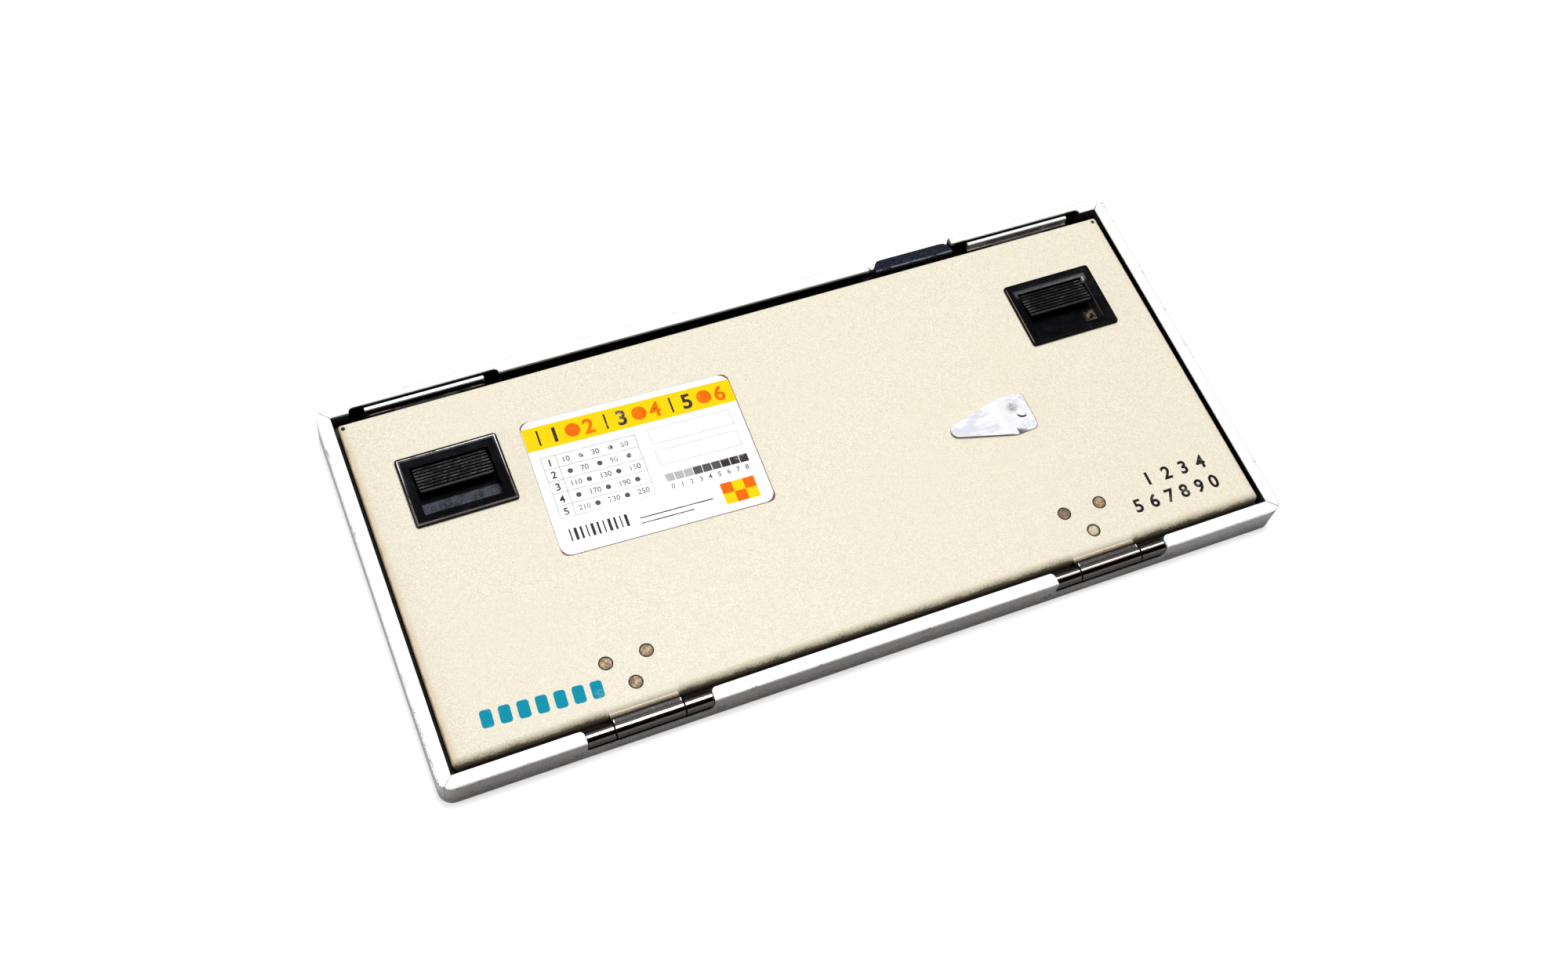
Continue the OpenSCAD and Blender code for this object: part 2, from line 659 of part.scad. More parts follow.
// ribbed thumb piece: its face rises from the far end to a ridge over the finger space
module latch_thumb(s) {
    pitch = (thumb_w - 1.6) / rib_n;
    function face(y) = thumb_tail + (thumb_top - thumb_tail) * (thumb_far - y) / (thumb_w - 0.8);
    color([0.07, 0.07, 0.075]) translate([s * latch_x, 0, 0]) difference() {
        intersection() {
            along_x(thumb_l) polygon(concat(
                [[thumb_near, bolt_z], [thumb_near + 1, bolt_z], [thumb_near + 1, bolt_top],
                 [thumb_far, bolt_top], [thumb_far, thumb_tail]],
                [for (i = [0 : rib_n - 1], k = [0 : 3])
                    let (y = thumb_far - 0.5 - (i + [0, 0.2, 0.6, 0.8][k]) * pitch)
                        [y, face(y) + (k == 1 || k == 2 ? rib_h : 0)]],
                [[thumb_near + 0.8, thumb_top], [thumb_near + 0.25, thumb_top - 0.1],
                 [thumb_near, thumb_top - 0.5]]));
            linear_extrude(case_h) {
                translate([-thumb_l / 2, thumb_near + thumb_r]) square([thumb_l, thumb_w]);
                translate([-thumb_l / 2 + thumb_r, thumb_near])
                    square([thumb_l - 2 * thumb_r, thumb_w]);
                for (d = [-1, 1]) translate([d * (thumb_l / 2 - thumb_r), thumb_near + thumb_r])
                    circle(thumb_r);
            }
        }
        for (d = [-1, 1]) translate([d * thumb_l / 4, thumb_far - thumb_w / 2, bolt_top - 1])
            cylinder(r = 1 + fit_gap, h = 2.3);
    }
}

module thumb_rivets(s) color([0.6, 0.6, 0.62])
    for (d = [-1, 1]) translate([s * latch_x + d * thumb_l / 4, thumb_far - thumb_w / 2, bolt_z])
        cylinder(r = 1, h = bolt_t + 1.2);

// bolt: a flat plate from the thumb piece out through the lid's edge, with a nose bar
module latch_bolt(s) color([0.85, 0.85, 0.87]) translate([s * latch_x, 0, 0]) difference() {
    union() {
        translate([-bolt_l / 2, thumb_near + 1 + fit_gap, bolt_z])
            cube([bolt_l, nose_near - thumb_near - 1, bolt_t]);
        translate([-nose_l / 2, foot_near, bolt_z]) cube([nose_l, nose_far - foot_near, bolt_t]);
        along_x(nose_l) polygon([[nose_near, nose_z], [nose_far - 0.3, nose_z],
            [nose_far, nose_z + 0.3], [nose_far, nose_top - 0.3], [nose_far - 0.3, nose_top],
            [nose_near + 0.15, nose_top], [nose_near, nose_top - 0.15]]);
    }
    for (d = [-1, 1]) translate([d * thumb_l / 4, thumb_far - thumb_w / 2, bolt_z - 1])
        cylinder(r = 1 + fit_gap, h = bolt_t + 2);
}

// tab: a moulded grip in the frame's cut-out on a tongue over the liner
module lift_tab() color([0.13, 0.15, 0.2]) difference() {
    union() {
        intersection() {
            translate([tab_x, 0, 0]) along_x(tab_l) polygon([
                [tab_ridge + tab_setback, liner_top], [tab_far - 0.5, liner_top],
                [tab_far, liner_top + 0.5], [tab_far, lip_z - 1.1], [tab_far - 0.7, lip_z - 0.4],
                [tab_ridge + 0.6, lip_z], [tab_ridge, lip_z - 0.3], [tab_ridge, lip_z - tab_lip_h],
                [tab_ridge + tab_setback, lip_z - tab_lip_h - 0.4]]);
            translate([tab_x, 0, 0]) linear_extrude(case_h) {
                translate([-tab_half, tab_ridge]) square([tab_l, tab_far - tab_r - tab_ridge]);
                translate([-tab_half + tab_r, tab_ridge]) square([tab_l - 2 * tab_r, tab_far - tab_ridge]);
                for (s = [-1, 1]) translate([s * (tab_half - tab_r), tab_far - tab_r]) circle(tab_r);
            }
        }
        translate([tab_x - tab_half + swing_gap, pan_far - tongue_reach, liner_top])
            cube([tab_l - 2 * swing_gap, tab_ridge + tab_setback - pan_far + tongue_reach + 0.5, tongue_t]);
    }
    tab_rivet_places() translate([0, 0, liner_top - 1])
        cylinder(r = tab_rivet_r - head_lip + fit_gap, h = tongue_t + 2);
}

// the tab's rivets, between the film pack and the lid's wall
module tab_rivet_places() for (d = [-1, 1])
    translate([tab_x + d * tab_l / 4, (film_w / 2 + pan_far - sheet_t) / 2, 0]) children();

module tab_rivets() color([0.6, 0.6, 0.62]) tab_rivet_places() {
    translate([0, 0, liner_z - 0.5]) cylinder(r = tab_rivet_r, h = 0.5);
    translate([0, 0, liner_z - 0.2]) cylinder(r = tab_rivet_r - head_lip, h = liner_t + tongue_t + 0.4);
    translate([0, 0, liner_top + tongue_t]) cylinder(r = tab_rivet_r, h = 0.5);
}

module info_label() color([0.97, 0.97, 0.95]) translate([label_x, label_y, plate_top])
    rotate([0, 0, label_turn]) linear_extrude(label_t) rounded(label_l, label_w, label_r);

module pointer_rivet() color([0.8, 0.8, 0.82]) translate([pivot_x, pivot_y, 0]) {
    z = plate_top + 2 * fit_gap + pointer_t;
    translate([0, 0, plate_bot - 0.6]) cylinder(r = pivot_r + 0.8, h = 0.6);
    translate([0, 0, plate_bot - 0.3]) cylinder(r = pivot_r, h = z - plate_bot + 0.4);
    translate([0, 0, z + 0.02]) rotate_extrude() intersection() {
        translate([0, dome_h - (dome_r * dome_r + dome_h * dome_h) / (2 * dome_h)])
            circle((dome_r * dome_r + dome_h * dome_h) / (2 * dome_h));
        square([dome_r, dome_h]);
    }
}

// teardrop leaf: a flat head round the rivet and a raised tip
module swivel_pointer() {
    flank = atan2(head_w / 2 - tip_r, tip_reach - tip_r - wide_x);
    end_x = head_reach - head_r;
    end_y = head_w / 2 - head_taper - head_r;
    top = pointer_t + pointer_lift;
    color([0.85, 0.85, 0.87]) translate([pivot_x, pivot_y, plate_top + fit_gap]) difference() {
        intersection() {
            linear_extrude(2 * top) polygon(concat(
                arc(tip_r - tip_reach, 0, tip_r, 90 + flank, 270 - flank, 10),
                [[-wide_x, -head_w / 2]],
                arc(end_x, -end_y, head_r, -90, 0, 6),
                arc(end_x, end_y, head_r, 0, 90, 6),
                [[-wide_x, head_w / 2]]));
            along_y(2 * head_w) polygon([[head_reach + 1, 0], [head_reach + 1, pointer_t],
                [1 - bend_x, pointer_t], [-1 - bend_x, top], [-tip_reach - 1, top],
                [-tip_reach - 1, pointer_lift], [-1 - bend_x, pointer_lift], [1 - bend_x, 0]]);
        }
        translate([0, 0, -1]) cylinder(r = pivot_r + fit_gap, h = 3);
        // dimple beside the pivot
        translate([-dome_r - 0.4, dome_r + 1.4, pointer_t - 0.2]) cylinder(r = pivot_r, h = 1);
    }
}

rail_hinge_side();
rail_latch_side();
rail_left();
rail_right();
corner_keys();
front_panel();
front_screen();
felt_light_seal();
hinge_leaf_frame(-1);  // hinge_leaf_frame_left
hinge_leaf_frame(1);  // hinge_leaf_frame_right
hinge_pin(-1);  // hinge_pin_left
hinge_pin(1);  // hinge_pin_right
hinge_dowels();
lid_pan();
lid_liner();
lead_foil();
pressure_pad();
back_screen();
hinge_leaf_lid(-1);  // hinge_leaf_lid_left
hinge_leaf_lid(1);  // hinge_leaf_lid_right
hinge_rivets();
latch_housing(-1);  // latch_housing_left
latch_housing(1);  // latch_housing_right
bolt_guide(-1);  // bolt_guide_left
bolt_guide(1);  // bolt_guide_right
detent_spring(-1);  // detent_spring_left
detent_spring(1);  // detent_spring_right
lift_tab();
tab_rivets();
info_label();
pointer_rivet();
latch_thumb(-1);  // latch_thumb_left
latch_bolt(-1);  // latch_bolt_left
thumb_rivets(-1);  // thumb_rivets_left
latch_thumb(1);  // latch_thumb_right
latch_bolt(1);  // latch_bolt_right
thumb_rivets(1);  // thumb_rivets_right
swivel_pointer();
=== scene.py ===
"""Looks of a flat x-ray film cassette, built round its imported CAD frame.

Lengths are in millimetres until a mesh is made, in the frame's own axes: X along the case,
Y from the hinge side to the latch side, Z up out of the back lid.
"""
import math
import random

import bpy
from mathutils import Matrix, Vector


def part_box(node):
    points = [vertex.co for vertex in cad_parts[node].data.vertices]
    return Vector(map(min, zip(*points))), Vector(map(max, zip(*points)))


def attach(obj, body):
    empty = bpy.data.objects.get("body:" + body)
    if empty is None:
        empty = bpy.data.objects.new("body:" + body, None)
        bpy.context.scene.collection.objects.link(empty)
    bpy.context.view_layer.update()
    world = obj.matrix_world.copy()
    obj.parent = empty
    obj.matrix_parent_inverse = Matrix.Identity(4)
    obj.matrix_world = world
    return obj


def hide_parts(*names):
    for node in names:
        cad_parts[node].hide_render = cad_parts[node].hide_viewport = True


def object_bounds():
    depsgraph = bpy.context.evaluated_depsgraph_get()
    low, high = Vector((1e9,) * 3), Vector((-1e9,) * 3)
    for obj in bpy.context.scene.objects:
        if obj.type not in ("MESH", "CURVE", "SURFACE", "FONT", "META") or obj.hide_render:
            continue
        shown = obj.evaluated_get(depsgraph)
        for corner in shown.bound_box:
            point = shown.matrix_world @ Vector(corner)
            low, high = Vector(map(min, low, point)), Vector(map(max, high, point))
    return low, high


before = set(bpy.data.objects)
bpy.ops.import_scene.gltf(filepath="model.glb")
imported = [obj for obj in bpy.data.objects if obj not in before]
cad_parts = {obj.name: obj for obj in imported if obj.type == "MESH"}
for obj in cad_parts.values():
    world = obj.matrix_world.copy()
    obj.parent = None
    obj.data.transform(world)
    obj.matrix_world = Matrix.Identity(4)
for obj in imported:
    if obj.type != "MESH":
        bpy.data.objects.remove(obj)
cad_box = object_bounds()
MM = 0.001
random.seed(7)


# ---------------------------------------------------------------- sizes read from the frame

def box_mm(node):
    """Lowest and highest corner of a CAD node, in millimetres."""
    low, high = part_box(node)
    return low / MM, high / MM


def middle(node):
    """Middle of a CAD node's box, in millimetres."""
    return [(a + b) / 2 for a, b in zip(*box_mm(node))]


def half_size(node):
    """Half the size of a CAD node's box on each axis, in millimetres."""
    return [(b - a) / 2 for a, b in zip(*box_mm(node))]


HALF_X, HALF_Y, CASE_H = cad_box[1] / MM
PAN_LOW, PAN_HIGH = box_mm("lid_pan")
PLATE_TOP = PAN_HIGH.z
# the rails' lip over the lid: its width, the height of its underside and its outer corner
LIP_W = 5.2
LIP_Z = 11.8
CORNER_R = 5.5
LATCH_X = middle("latch_housing_right")[0]
# half the length of the slot in the lip at each latch
SLOT_HALF = 28.5
HINGE_X, HINGE_Y, HINGE_Z = middle("hinge_pin_right")
KNUCKLE_TOP = box_mm("hinge_leaf_lid_right")[1].z
KNUCKLE_HALF = half_size("hinge_leaf_lid_right")[0]
# how far a thumb piece's face falls towards the edge of the case
THUMB_FALL = 2.3
# radius of a hinge rivet's head
RIVET_HEAD = 2.6
NOSE_TOP = box_mm("latch_bolt_right")[1].z
NOSE_Y = box_mm("latch_bolt_right")[1].y - 1.45
NOSE_HALF = half_size("latch_bolt_right")[0]
PIVOT = middle("pointer_rivet")[:2]
POINTER_REACH = PIVOT[0] - box_mm("swivel_pointer")[0].x
# the pointer's soft bend: where it starts and ends along the leaf, and how far it lifts the tip
BEND_START = -3.2
BEND_END = -9.6
BEND_RISE = 0.55


# ---------------------------------------------------------------- materials

class Value:
    """What a node gives at each point, with a number's operators. a | b is the larger one, a & b
    the smaller one, and masks of 0 to 1 are multiplied to keep what they share."""

    def __init__(self, paint, socket):
        self.paint = paint
        self.socket = socket

    def math(self, operation, other=0.0):
        return self.paint.math(operation, self, other)

    def __add__(self, other):
        return self.math("ADD", other)

    def __sub__(self, other):
        return self.math("SUBTRACT", other)

    def __rsub__(self, other):
        return self.paint.math("SUBTRACT", other, self)

    def __mul__(self, other):
        return self.math("MULTIPLY", other)

    def __or__(self, other):
        return self.math("MAXIMUM", other)

    def __and__(self, other):
        return self.math("MINIMUM", other)

    def __abs__(self):
        return self.math("ABSOLUTE")

    def step(self, low, high):
        """0 below low and 1 above high, smooth between; low may be the larger one."""
        falls = low > high
        start, end = min(low, high), max(low, high)
        return self.paint.ranged(self, start, end, float(falls), float(not falls), "SMOOTHSTEP")

    def spread(self, low, high):
        """Maps 0..1 to low..high."""
        return self.paint.ranged(self, 0.0, 1.0, low, high)


def distance(u, v):
    """Distance of the point u, v from the origin."""
    return (u * u + v * v).math("SQRT")


class Paint:
    """One node material on object coordinates in millimetres, with a base colour built in coats."""

    def __init__(self, name, **values):
        self.material = bpy.data.materials.new(name)
        self.material.use_nodes = True
        self.tree = self.material.node_tree
        self.tree.nodes.clear()
        self.out = self.node("ShaderNodeOutputMaterial")
        self.shader = self.node("ShaderNodeBsdfPrincipled")
        self.link(self.shader.outputs[0], self.out.inputs["Surface"])
        self.set(**values)
        self.base = None
        place = self.node("ShaderNodeTexCoord").outputs["Object"]
        self.place = self.vector(place, "SCALE")
        self.place.node.inputs["Scale"].default_value = 1 / MM
        split = self.node("ShaderNodeSeparateXYZ")
        self.link(self.place, split.inputs[0])
        self.x, self.y, self.z = [Value(self, axis) for axis in split.outputs]

    def node(self, kind, **settings):
        made = self.tree.nodes.new(kind)
        for key, value in settings.items():
            setattr(made, key, value)
        return made

    def link(self, source, target):
        self.tree.links.new(source, target)

    def put(self, target, value):
        """Links a value or a socket, or sets a constant, on an input; one number is a grey."""
        if isinstance(value, Value):
            value = value.socket
        if isinstance(value, bpy.types.NodeSocket):
            self.link(value, target)
        elif target.type == "RGBA":
            red, green, blue = value if isinstance(value, tuple) else (value, value, value)
            target.default_value = (red, green, blue, 1)
        else:
            target.default_value = value

    def set(self, **values):
        """Sets the shader's sockets: base_color=... sets Base Color."""
        for key, value in values.items():
            words = key.replace("_", " ")
            self.put(next(s for s in self.shader.inputs if s.name.lower() == words), value)

    def math(self, operation, a, b):
        made = self.node("ShaderNodeMath", operation=operation)
        self.put(made.inputs[0], a)
        self.put(made.inputs[1], b)
        return Value(self, made.outputs[0])

    def ranged(self, value, from_low, from_high, to_low, to_high, kind="LINEAR"):
        made = self.node("ShaderNodeMapRange", interpolation_type=kind)
        for key, end in zip(("Value", "From Min", "From Max", "To Min", "To Max"),
            (value, from_low, from_high, to_low, to_high)):
            self.put(made.inputs[key], end)
        return Value(self, made.outputs["Result"])

    def vector(self, source, operation):
        made = self.node("ShaderNodeVectorMath", operation=operation)
        self.link(source, made.inputs[0])
        return made.outputs[0]

    def texture(self, kind, size, stretch):
        """A texture node whose features are size mm apart, stretched by a factor on each axis."""
        made = self.node(kind)
        spot = self.vector(self.place, "DIVIDE")
        spot.node.inputs[1].default_value = stretch
        self.link(spot, made.inputs["Vector"])
        made.inputs["Scale"].default_value = 1 / size
        return made

    def noise(self, size, detail=2.0, roughness=0.5, stretch=(1, 1, 1), distortion=0.0):
        made = self.texture("ShaderNodeTexNoise", size, stretch)
        made.inputs["Detail"].default_value = detail
        made.inputs["Roughness"].default_value = roughness
        made.inputs["Distortion"].default_value = distortion
        return Value(self, made.outputs["Fac"])

    def specks(self, spacing, radius, share, stretch=(1, 1, 1)):
        """Round marks of the given radius, one in each cell of a share of all cells."""
        made = self.texture("ShaderNodeTexVoronoi", spacing, stretch)
        split = self.node("ShaderNodeSeparateColor")
        self.link(made.outputs["Color"], split.inputs[0])
        chosen = Value(self, split.outputs[0]).math("GREATER_THAN", 1 - share)
        reach = radius / spacing
        return Value(self, made.outputs["Distance"]).step(reach * 1.3, reach * 0.5) * chosen

    def inset(self, x, y, half_x, half_y, corner):
        """Distance inwards from a centred rectangle with round corners."""
        over_x, over_y = abs(x) - (half_x - corner), abs(y) - (half_y - corner)
        far = ((over_x | 0.0).math("POWER", 2.0) + (over_y | 0.0).math("POWER", 2.0)).math("SQRT")
        return corner - (far + ((over_x | over_y) & 0.0))

    def about(self, cx, cy, angle=0.0):
        """The place in the plane's own axes, about a middle and turned by an angle in degrees."""
        dx, dy = self.x - cx, self.y - cy
        c, s = math.cos(math.radians(angle)), math.sin(math.radians(angle))
        return dx * c + dy * s, dy * c - dx * s

    def mix(self, factor, a, b):
        made = self.node("ShaderNodeMix", data_type="RGBA")
        self.put(made.inputs["Factor"], factor)
        self.put(made.inputs[6], a)
        self.put(made.inputs[7], b)
        return Value(self, made.outputs[2])

    def coat(self, mask, colour):
        """Lays a colour over the base colour where the mask is 1."""
        self.base = self.mix(mask, self.base, colour)

    def done(self, **values):
        """Sets the base colour and the last sockets, and gives the material."""
        self.set(base_color=self.base, **values)
        return self.material

    def bump(self, height, depth, after=None):
        """A bump whose full height is depth mm, on top of another one."""
        made = self.node("ShaderNodeBump")
        made.inputs["Distance"].default_value = depth * MM
        self.put(made.inputs["Height"], height)
        if after is not None:
            self.link(after, made.inputs["Normal"])
        return made.outputs["Normal"]


def rail_aluminium(name, along_x):
    """Silver anodised extrusion: fine drawing lines along the rail, nicks on the outer edge,
    black behind the lip, and a dark joint in each mitre."""
    p = Paint(name, specular_ior_level=0.4)
    depth = p.inset(p.x, p.y, HALF_X, HALF_Y, CORNER_R)
    stretch = (30, 1, 1) if along_x else (1, 30, 1)
    lines = p.noise(0.25, 3, 0.6, stretch)
    grain = p.noise(0.45, 4, 0.75)
    cloud = p.noise(22, 3, 0.5)
    p.base = p.mix(lines.step(0.3, 0.7), (0.66, 0.655, 0.65), (0.78, 0.78, 0.785))
    side = p.z.step(CASE_H - 0.05, CASE_H - 0.5)
    p.coat(grain.step(0.42, 0.62) * side.spread(0.1, 0.5), (0.44, 0.41, 0.405))
    if along_x:
        # on the near side: a pinkish cast higher up, and painted light that makes its right-hand end lighter
        near_side = side * p.y.step(1.0 - HALF_Y, 0.5 - HALF_Y)
        p.coat(near_side * p.z.step(5.0, 12.0) * 0.4, (0.6, 0.5, 0.475))
        p.coat(near_side * p.x.step(98, 130) * p.z.step(2.0, 7.0).spread(0.5, 0.9), (0.9, 0.88, 0.88))
    # painted shade: the sides grow darker towards the floor
    low = side * p.z.step(CASE_H - 2.0, 0.5)
    p.coat(low * 0.55, (0.26, 0.25, 0.24))
    stipple = side * p.noise(0.5, 3, 0.85).step(0.5, 0.6)
    p.coat(stipple * low.spread(0.45, 0.85), (0.12, 0.105, 0.1))
    pale = side * p.noise(0.55, 3, 0.85).step(0.55, 0.62)
    p.coat(pale * 0.4, (0.72, 0.67, 0.66))
    drawn = side * p.noise(0.35, 3, 0.7, (60, 60, 1)).step(0.58, 0.66) * cloud.step(0.4, 0.6)
    p.coat(drawn * 0.6, (0.12, 0.11, 0.105))
    p.coat(cloud.step(0.5, 0.75) * 0.5, (0.62, 0.6, 0.59))
    # dark nicks and rubbed patches near the outer top edge
    edge = depth.step(1.2, 0.6) * p.z.step(CASE_H - 1.5, CASE_H - 0.7)
    worn = edge * p.noise(7, 4, 0.7).step(0.56, 0.64) * p.noise(0.7, 4, 0.7).step(0.5, 0.56)
    nicks = p.specks(11, 0.35, 0.3, (1.6, 1.6, 1)) * depth.step(1.6, 1.1) * p.z.step(1.0, 2.0)
    marks = worn | nicks
    knock = edge * p.x.step(-140, -160) * p.y.step(-40, -62) * p.noise(1.1, 4, 0.8).step(0.52, 0.58)
    marks = marks | knock
    p.coat(marks * 0.8, (0.13, 0.12, 0.11))
    # mitre joints
    skew = abs(p.x) - HALF_X - (abs(p.y) - HALF_Y)
    joint = abs(skew).step(0.3, 0.14) * p.noise(1.5, 3, 0.6).step(0.36, 0.5) * side.spread(1.0, 0.0)
    p.coat(joint * p.x.step(0, 1).spread(0.7, 0.95), (0.1, 0.09, 0.08))
    # the round corner at the near right is rubbed dark along its top edge
    turn = p.x.step(HALF_X - 6.5, HALF_X - 5.0) * p.y.step(5.5 - HALF_Y, 4.5 - HALF_Y)
    turn = turn * depth.step(0.26, 0.16) * p.z.step(CASE_H - 0.9, CASE_H - 0.5)
    p.coat(turn * 0.85, (0.07, 0.06, 0.055))
    if along_x:
        # the outline of each dowel driven in beside a hinge
        low, high = box_mm("hinge_dowels")
        radius = (high.z - low.z) / 2
        out_x = high.x - radius - HINGE_X
        from_x = abs(abs(p.x) - HINGE_X)
        from_x, from_z = from_x - out_x, p.z - (low.z + radius)
        ring = distance(from_x, from_z) - (radius + 0.1)
        ring = (abs(ring).step(0.3, 0.16) * p.noise(0.9, 3, 0.7).step(0.36, 0.46)
            * p.y.step(1.0 - HALF_Y, 0.5 - HALF_Y))
        p.coat(ring * 0.85, (0.07, 0.055, 0.05))
    # the inside is blackened against stray light; the same black on the lip's inner walls, the slot walls
    # and the notch beside the tab is also painted shade
    behind = depth.step(0.5, 0.7) * p.z.step(LIP_Z + 0.02, LIP_Z - 0.1) * p.z.step(0.3, 0.5)
    inner = depth.step(LIP_W - 0.14, LIP_W - 0.04)
    if along_x:
        # painted light: a greenish-grey band on most of the far lip's inner wall instead of black
        far = p.y.step(0.0, 1.0) * p.x.step(151, 145)
        p.coat(inner * far * p.z.step(CASE_H - 0.2, LIP_Z) * 0.75, (0.22, 0.24, 0.21))
        inner = inner * p.mix(far, p.z.step(CASE_H - 0.2, CASE_H - 0.5), p.z.step(LIP_Z + 0.1, LIP_Z))
    else:
        inner = inner * p.z.step(CASE_H - 0.4, CASE_H - 0.7)
    behind = behind | inner
    if along_x:
        in_slot = abs(p.x) - LATCH_X
        slot = (abs(in_slot).step(SLOT_HALF + 0.1, SLOT_HALF - 0.1) * p.y.step(0.0, 1.0)
            * depth.step(3.0, 3.15) * p.z.step(CASE_H - 0.6, CASE_H - 0.75))
        behind = behind | slot
        # painted shadow: black in the notch beside the tab
        tab_low = box_mm("lift_tab")[0].x
        notch = p.x.step(tab_low - 3.4, tab_low - 3.0) * p.x.step(tab_low + 0.3, tab_low)
        notch = notch * p.y.step(0.0, 1.0) * depth.step(LIP_W - 1.5, LIP_W - 1.3) * p.z.step(2.0, 3.0)
        behind = behind | notch
        cut = box_mm("lift_tab")[1].x + 0.4
        cut = p.x.step(cut - 0.6, cut - 0.5) * p.x.step(cut + 0.2, cut + 0.1) * p.y.step(0.0, 1.0)
        p.coat(cut * grain.step(0.3, 0.55) * 0.9, (0.03, 0.025, 0.02))
    p.coat(behind, 0.009)
    rough = grain.spread(0.36, 0.5) + behind * 0.3
    normal = p.bump(marks * -1.0, 0.05, p.bump(lines, 0.004))
    return p.done(roughness=rough, metallic=behind.spread(0.2, 0.9), normal=normal)


def lid_paint():
    """Cream enamel with a fine texture, a few dark specks, grime along the roll, and painted brown shade at
    the folds and along the roll.
    """
    p = Paint("lid_paint", specular_ior_level=0.35)
    fine = p.noise(0.32, 4, 0.7)
    cloud = p.noise(28, 4, 0.55)
    small = p.noise(2.2, 3, 0.6)
    p.base = p.mix(fine.step(0.34, 0.64), (0.5, 0.45, 0.345), (0.7, 0.66, 0.545))
    p.coat(cloud.step(0.42, 0.68) * 0.35, (0.61, 0.555, 0.44))
    p.coat(small.step(0.56, 0.72) * 0.2, (0.52, 0.46, 0.345))
    specks = p.specks(7, 0.2, 0.3) | p.specks(19, 0.32, 0.3)
    p.coat(specks * 0.8, (0.09, 0.07, 0.045))
    # painted shade: tan along the side folds, darker at their edges and on the left, and olive brown towards
    # the roll
    jitter = p.noise(6, 3, 0.6).spread(-0.8, 0.8)
    side = PAN_HIGH.x - abs(p.x)
    side = side + jitter
    side_fold_shade = side.step(3.6, 0.6) * p.x.step(0, 1).spread(0.5, 0.15)
    p.coat(side_fold_shade, (0.44, 0.29, 0.13))
    fold_edge_shade = side.step(1.0, 0.2) * p.x.step(0, 1).spread(0.6, 0.35)
    p.coat(fold_edge_shade, p.mix(p.x.step(0, 1), (0.13, 0.085, 0.04), (0.3, 0.2, 0.17)))
    # the roll is cut away at each hinge, so the painted shade and the grime start further in there
    hinge = abs(abs(p.x) - HINGE_X)
    hinge = hinge.step(KNUCKLE_HALF + 1.2, KNUCKLE_HALF - 0.6) * 2.0
    near = p.y - PAN_LOW.y + jitter + hinge
    # painted shade along the roll
    p.coat(near.step(4.6, 1.2) * 0.35, (0.35, 0.27, 0.15))
    # grime in dots and short scratches along the roll
    dots = p.noise(0.5, 4, 0.85, (1.7, 1, 1))
    dirt = near.step(3.7, 2.0) * dots.step(0.55, 0.62) * 0.55
    dirt = dirt | near.step(2.3, 1.0) * dots.step(0.44, 0.56)
    p.coat(dirt * 0.7, (0.1, 0.072, 0.04))
    # painted shade: nearly black at the very edge of the roll
    p.coat(near.step(1.4, 0.5) * 0.8, (0.045, 0.033, 0.018))
    under = p.z.step(PLATE_TOP - 1.0, PLATE_TOP - 2.4)
    p.coat(under, (0.1, 0.08, 0.05))
    return p.done(roughness=fine.spread(0.42, 0.58), normal=p.bump(cloud, 0.05, p.bump(fine, 0.012)))


def metal(name, colour, rough, grain=0.3, stretch=(1, 1, 1), stain=None):
    """Bare or plated metal with a drawn grain and a cloudy tarnish."""
    p = Paint(name, metallic=1.0)
    lines = p.noise(grain, 4, 0.65, stretch)
    dark = tuple(c * 0.72 for c in colour)
    p.base = p.mix(lines.step(0.3, 0.7), dark, colour)
    if stain:
        p.coat(p.noise(6, 4, 0.6).step(0.48, 0.7), stain)
    return p.done(roughness=lines.spread(rough * 0.75, rough * 1.35), normal=p.bump(lines, 0.004))


